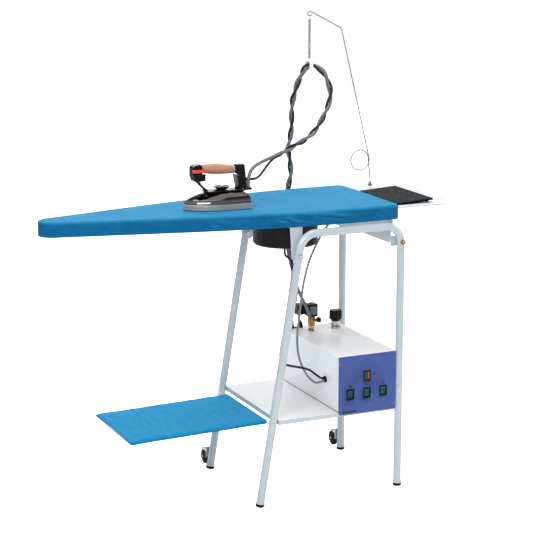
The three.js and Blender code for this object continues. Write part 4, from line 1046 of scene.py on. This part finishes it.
# Each fold of the skirt: its two ends in X and Z, its width and its depth.
SKIRT_FOLDS = (
    ((-385, 893), (-342, 871), 3.2, 9.5),
    ((-415, 885), (-383, 877), 2.8, 7.5),
    ((-290, 901), (-180, 887), 3.2, 7.5),
    ((-354, 900), (-261, 880), 7.0, 4.2),
    ((-620, 897), (-560, 877), 5.0, 3.0),
    ((-800, 890), (-730, 876), 5.0, 2.4),
    ((-90, 898), (-40, 878), 5.0, 2.4),
    ((-960, 896), (-905, 880), 6.0, 1.8),
)


def bezier(p0, p1, p2, p3, count):
    out = []
    for k in range(count):
        t = k / count
        weights = ((1 - t) ** 3, 3 * t * (1 - t) ** 2, 3 * t * t * (1 - t), t ** 3)
        out.append(tuple(sum(w * p[i] for w, p in zip(weights, (p0, p1, p2, p3))) for i in (0, 1)))
    return out


def arc(x, y, radius, start, end, count):
    angles = [math.radians(start + (end - start) * k / count) for k in range(count)]
    return [(x + radius * math.cos(a), y + radius * math.sin(a)) for a in angles]


def straight(a, b, count):
    return [(a[0] + (b[0] - a[0]) * k / count, a[1] + (b[1] - a[1]) * k / count) for k in range(count)]


def board_outline(inset):
    nose_r = NOSE_R - inset
    nose_x = NOSE_X + NOSE_R
    half = HALF_WIDTH - inset
    end = END_X - inset
    corner = max(26 - inset, 3)
    points = arc(nose_x, 0, nose_r, 90, 270, 30)
    points += bezier((nose_x, -nose_r), (-850, -nose_r - 46), (-480, -half + 2), (-150, -half), 380)
    points += straight((-150, -half), (end - corner, -half), 50)
    points += arc(end - corner, -half + corner, corner, -90, 0, 9)
    points += straight((end, -half + corner), (end, half - corner), 50)
    points += arc(end - corner, half - corner, corner, 0, 90, 9)
    points += straight((end - corner, half), (-150, half), 26)
    points += bezier((-150, half), (-480, half - 2), (-850, nose_r + 46), (nose_x, nose_r), 170)
    return [(x, BOARD_Y + y) for x, y in points]


def fold_depth(x, y, z):
    """How far the skirt is drawn in at a point: named folds on both long sides, and slack all round."""
    depth = 0.0
    for (x0, z0), (x1, z1), width, deep in SKIRT_FOLDS:
        if y > BOARD_Y:
            x0, x1 = x0 - 60, x1 - 60
        along = ((x - x0) * (x1 - x0) + (z - z0) * (z1 - z0)) / ((x1 - x0) ** 2 + (z1 - z0) ** 2)
        along = min(1.0, max(0.0, along))
        away = math.hypot(x - x0 - along * (x1 - x0), z - z0 - along * (z1 - z0))
        above = 1 if (z - z0) > (z1 - z0) * (x - x0) / (x1 - x0) else -1
        fade = math.sin(math.pi * (0.08 + 0.84 * along))
        depth += fade * deep * math.exp(-(away / width) ** 2)
        depth -= fade * 0.55 * deep * math.exp(-((away * above - 2.2 * width) / (1.6 * width)) ** 2)
        depth -= fade * 0.4 * deep * math.exp(-(away / (3.2 * width)) ** 2)
    slack = noise.noise(Vector((x / 48, y / 48, z / 30)))
    return depth + 0.7 * slack


def make_board():
    profile = [(3.2, 907.2), (3.2, 873.4), (2.4, 872.2), (1.2, 872), (0.3, 872.8)]
    profile += [(0, z) for z in (874.5, 876.4, 876.9)] + [(0, 878 + 2 * k) for k in range(16)]
    for degrees in range(10, 91, 16):
        a = math.radians(degrees)
        profile.append((9 - 9 * math.cos(a), 908.3 + 9.2 * math.sin(a)))
    profile += [(12, 917.5), (18, 917.2), (27, 916.9), (38, 916.9)]
    outer = board_outline(0)
    rings = []
    for inset, level in profile:
        ring = []
        z = level
        for k, (x, y) in enumerate(board_outline(inset)):
            before, after = outer[k - 1], outer[(k + 1) % len(outer)]
            out = Vector((after[1] - before[1], before[0] - after[0], 0)).normalized()
            drawn = 0.0
            if inset < 9 and 872.5 < z < 915:
                drawn = max(-4.5, fold_depth(*outer[k], z)) * min(1.0, (z - 870) / 4)
                drawn += 0.5 if 876.2 < z < 877 else 0.0
                # Near the hem each point's height is the last one's and a little more or less.
                z += 1.5 * noise.noise(Vector((x / 34, y / 34, 7))) * max(0.0, min(1.0, (884 - z) / 8))
            ring.append(Vector((x, y, z)) - out * min(drawn, 3.0))
        rings.append(ring)
    piece("padded_cover", loft(rings), COVER, nodes=("board_cover",), sharp=60)
    piece("pan", from_cad("board_base", 0.6), SHEET, nodes=("board_base",))


# ------------------------------------------------------------------ iron rest and hose mast
MAT_AT = Matrix.Translation((2, 0, 904)) @ Matrix.Rotation(-0.055, 4, "Y")
MAST = (84, 368)
MAST_R = 1.9
MAST_PLANE = 362
SPRING_X = -145
SPRING_Z = (1337, 1475.5)


def make_rest():
    piece("rest_sheet", from_cad("rest_tray", 0.4, 3), SHEET, nodes=("rest_tray",))
    feet = [block((124, 132), (y, y + 8), (-5.2, 3), 0.8, 2) for y in (66, 264)]
    mat = merged(block((4, 138), (46, 294), (1.8, 6.2), 1.2, 3), *feet)
    mat.transform(MAT_AT)
    piece("mat_base", mat, MAT, nodes=("rest_mat",))
    solids = []
    for k in range(22):
        y = 49 + 11.52 * k
        solids.append(block((5.5, 136.5), (y - 1.7, y + 1.7), (5.8, 9), 0.7, 2))
    for k in range(12):
        x = 8.5 + 11.36 * k
        solids.append(block((x - 1.7, x + 1.7), (47.5, 292.5), (5.8, 8.9), 0.7, 2))
    grid = merged(*solids)
    grid.transform(MAT_AT)
    piece("mat_grid", grid, GRID_PAINTED_HIGHLIGHT)
    # Painted shade: the rest tray's rim hem gets the frame's greyer paint instead of the tray's white sheet.
    hem = bent([(2.5, 378.6, 902.5), (172.5, 378.6, 902.5), (172.5, 21.4, 902.5), (2.5, 21.4, 902.5)], 9, 6)
    piece("rest_hem_painted_shade", tube(hem, 2, 12), WHITE)


def mast_path():
    ring_x, ring_z, ring_r = 43, 1001, 33
    bend_x, bend_z = -31, 1436
    tip_x, tip_z = -141, 1492
    lean = math.atan2(ring_x + ring_r - bend_x, bend_z - ring_z)
    points = bent([(*MAST, 914.5), (*MAST, 930), (ring_x + ring_r, MAST[1], ring_z)], 40, 8)
    steps = 64
    for i in range(1, steps + 1):
        a = (2 * math.pi + lean) * i / steps
        y = MAST[1] + (MAST_PLANE - MAST[1]) * i / steps
        points.append(Vector((ring_x + ring_r * math.cos(a), y, ring_z + ring_r * math.sin(a))))
    start = points.pop()
    points += bent([tuple(start), (bend_x, MAST_PLANE, bend_z), (tip_x, MAST_PLANE, tip_z)], 22, 10)
    for i in range(1, 29):
        a = math.pi / 2 - 0.45 + 0.177 * i
        points.append(Vector((tip_x - 3.4 + 7 * math.cos(a), MAST_PLANE, tip_z - 6.5 + 7 * math.sin(a))))
    return points


def make_mast():
    piece("mast_rod", tube(mast_path(), MAST_R, 16), SPRING, "mast", ("mast_wire",))
    socket = lathe([(0, 912), (7.5, 912), (7.5, 917.4), (6.9, 918.2), (2.3, 918.2), (2.3, 914), (0, 914)], 40)
    piece("mast_socket", moved(socket, *MAST), COPPER, nodes=("mast_bushing",))
    sleeve = lathe([(2.3, 918), (6.3, 918), (6.1, 922), (5.4, 926), (2.3, 926)], 40, True)
    piece("mast_sleeve", moved(sleeve, *MAST), STEEL)
    turns, per_turn = 66, 14
    low, high = SPRING_Z
    coil = []
    for k in range(turns * per_turn + 1):
        a = 2 * math.pi * k / per_turn
        coil.append(Vector((SPRING_X + 3.4 * math.cos(a), MAST_PLANE + 3.4 * math.sin(a),
                            high - 8 - (high - low - 15) * k / (turns * per_turn))))
    hook_up = [Vector((SPRING_X, MAST_PLANE, high + 2)), Vector((SPRING_X + 1.8, MAST_PLANE, high - 3))]
    hook_down = [Vector((SPRING_X + 1.8, MAST_PLANE, low + 3)), Vector((SPRING_X, MAST_PLANE, low - 2))]
    spring = tube(hook_up + coil + hook_down, 0.75, 8)
    coils = piece("pull_spring", spring, SPRING, None, ("tension_spring",))
    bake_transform(coils)
    piece("clip_body", from_cad("hose_clip", 1.1, 3), SHEET, "clip", ("hose_clip",))


# ------------------------------------------------------------------ iron
IRON_AT = (-656, 185, 917.8)
DIAL_X = 127
GRIP_AT = (113.5, 0, 119.6)
GRIP_TILT = 0.074


def iron_piece(name, bm, look, body="iron", nodes=(), sharp=40):
    return piece(name, moved(bm, *IRON_AT), look, body, nodes, sharp)


def sole_outline(inset):
    half, heel, corner = 62 - inset, 207 - inset, 18
    side = bezier((inset, 0), (6 + inset, -14), (50, -half + 2), (112, -half), 34)
    side += straight((112, -half), (heel - corner, -half), 10)
    side += rounded([(heel - corner, -half), (heel, -half), (heel, -half + corner)], corner, 9)[1:]
    return side + [(x, -y) for x, y in side[:0:-1]]


def sole_skin(levels):
    return loft([[(x, y, z) for x, y in sole_outline(inset)] for inset, z in levels])


def scaled_ring(scale, z):
    """The sole's outline shrunk about a point near the heel, for the dome."""
    return [(165 + (x - 165) * scale, y * scale, z) for x, y in sole_outline(0.0)]


def make_iron_body():
    band = sole_skin([(0.5, 0.5), (0.1, 1.8), (0, 3), (0, 15.6), (0.5, 17.2), (1.8, 18)])
    iron_piece("sole_band", band, SATIN, nodes=("iron_soleplate",))
    rim = sole_skin([(2, 0), (0.4, 0.2), (0.1, 1.2), (0.8, 1.7)])
    iron_piece("sole_edge", rim, BURNT)
    stack = [
        (18.3, 0.975), (19.2, 0.985), (23, 0.98), (27, 0.965), (31, 0.93), (35, 0.88), (39, 0.815),
        (42, 0.76), (45, 0.70), (47, 0.655), (48.4, 0.625), (49, 0.60),
    ]
    dome = loft([scaled_ring(scale, z) for z, scale in stack])
    iron_piece("chrome_dome", dome, CHROME, nodes=("iron_dome",), sharp=50)


def along_grip(bm):
    """Lays a part made along +Z on the grip's axis, which is a little higher at the front."""
    return moved(turned(bm, 90 + math.degrees(GRIP_TILT), "Y"), *GRIP_AT)


def make_iron_handle():
    base = block((72, 198), (-24, 24), (49.3, 55), 2.4, 4)
    boss = block((199, 223), (-18, 2), (50, 57), 2.0, 3)
    iron_piece("handle_base", merged(base, boss), BLACK, nodes=("iron_handle",))
    post = [(176, 55), (207, 55), (206, 80), (202, 118), (200, 131), (172, 131), (171, 104), (185, 97)]
    iron_piece("handle_post", wall(rounded(post, 5, 4, True), -11, 11, 1.8, 3), BLACK)
    outlet = turned(lathe([(0, 0), (7, 0), (7, 4), (6.4, 6), (6.4, 13), (5, 20), (0, 20)], 28), 90, "Y")
    iron_piece("cable_outlet", moved(outlet, 202, 6, 79), RUBBER)
    head = [(28, 99), (33, 94), (58.2, 94), (58.2, 138), (38, 138), (28, 131)]
    iron_piece("handle_head", wall(rounded(head, 5, 4, True), -16, 16, 2.4, 3), BLACK)
    case = block((29, 66), (-26, 14), (88, 108), 4.5, 4)
    ledge = block((29, 66), (-26, -16.8), (104, 110), 2, 3)
    iron_piece("switch_housing", merged(case, ledge), BLACK)
    struts = [tube([(42, y, 90), (58, y, 73), (77, y, 54)], 3, 16) for y in (-8, 6)]
    iron_piece("handle_struts", merged(*struts), BLACK)
    wire = [(50, -14, 88), (54, -15, 78), (66, -15, 66), (84, -14, 56)]
    iron_piece("switch_wire", tube(spline(wire, 2), 1.1, 12), STEEL)
    plate = wall(rounded([(169, 100), (174, 100), (183, 57), (178, 57)], 1, 2, True), -11, 11, 0.6)
    iron_piece("heat_shield", plate, GREY)
    washers = [collar(6.4, 12.4, low, low + 1.8, 0.5, 36) for low in (-54, 52.2)]
    iron_piece("grip_collars", along_grip(merged(*washers)), STEEL)
    screws = [screw((x, y, 55), (0, 0, 1), 3.2) for x in (80, 192) for y in (-17, 17)]
    iron_piece("base_screws", merged(*screws), STEEL)
    grip = lathe([
        (6.4, -52), (11.4, -52), (12.4, -50.6), (13.2, -46), (14.5, -36), (15.5, -22), (15.8, -8),
        (15.6, 8), (14.8, 24), (13.8, 38), (12.9, 46), (12.2, 50.6), (11.2, 52), (6.4, 52),
    ], 56, True)
    iron_piece("cork_grip", along_grip(grip), CORK, nodes=("iron_grip",))
    lever = rounded([
        (24, 117), (27, 115), (68, 114.5), (69.5, 118), (64, 123), (30, 124.5), (25, 122),
    ], 3, 4, True)
    iron_piece("lever", wall(lever, -24.8, -16.8, 1.5, 4), RED, "trigger", ("iron_trigger",))
    skirt = lathe([
        (0, 51), (5, 51), (5, 56), (13, 56), (15.5, 56.8), (20, 60.6), (24.6, 63.4), (25, 64.6),
        (24.6, 66), (20, 68), (0, 68),
    ], 56)
    iron_piece("dial_skirt", moved(skirt, DIAL_X), BLACK, "thermostat", ("thermostat_dial",))
    knob = lathe([(0, 67.2), (16.4, 67.2), (16, 69), (14.4, 70.8), (10, 72), (5, 72.3), (0, 72.4)], 56)
    iron_piece("dial_knob", moved(knob, DIAL_X), SILVER, "thermostat")


# ------------------------------------------------------------------ everything
def make_hidden_parts():
    """The nodes that keep their own shape get the steel look."""
    for node in ("boiler_tank", "heating_element", "valve_armature", "work_plate"):
        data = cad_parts[node].data
        data.materials.clear()
        data.materials.append(STEEL.material)


def make_floor():
    bm = bmesh.new()
    bmesh.ops.create_grid(bm, x_segments=2, y_segments=2, size=9)
    mesh = bpy.data.meshes.new("floor")
    bm.to_mesh(mesh)
    bm.free()
    floor = bpy.data.objects.new("floor", mesh)
    mesh.materials.append(FLOOR.material)
    bpy.context.scene.collection.objects.link(floor)


make_camera()
make_cords()
make_studio()
make_floor()
make_stand()
make_tray()
make_boiler()
make_fan()
make_board()
make_rest()
make_mast()
make_iron_body()
make_iron_handle()
make_hidden_parts()
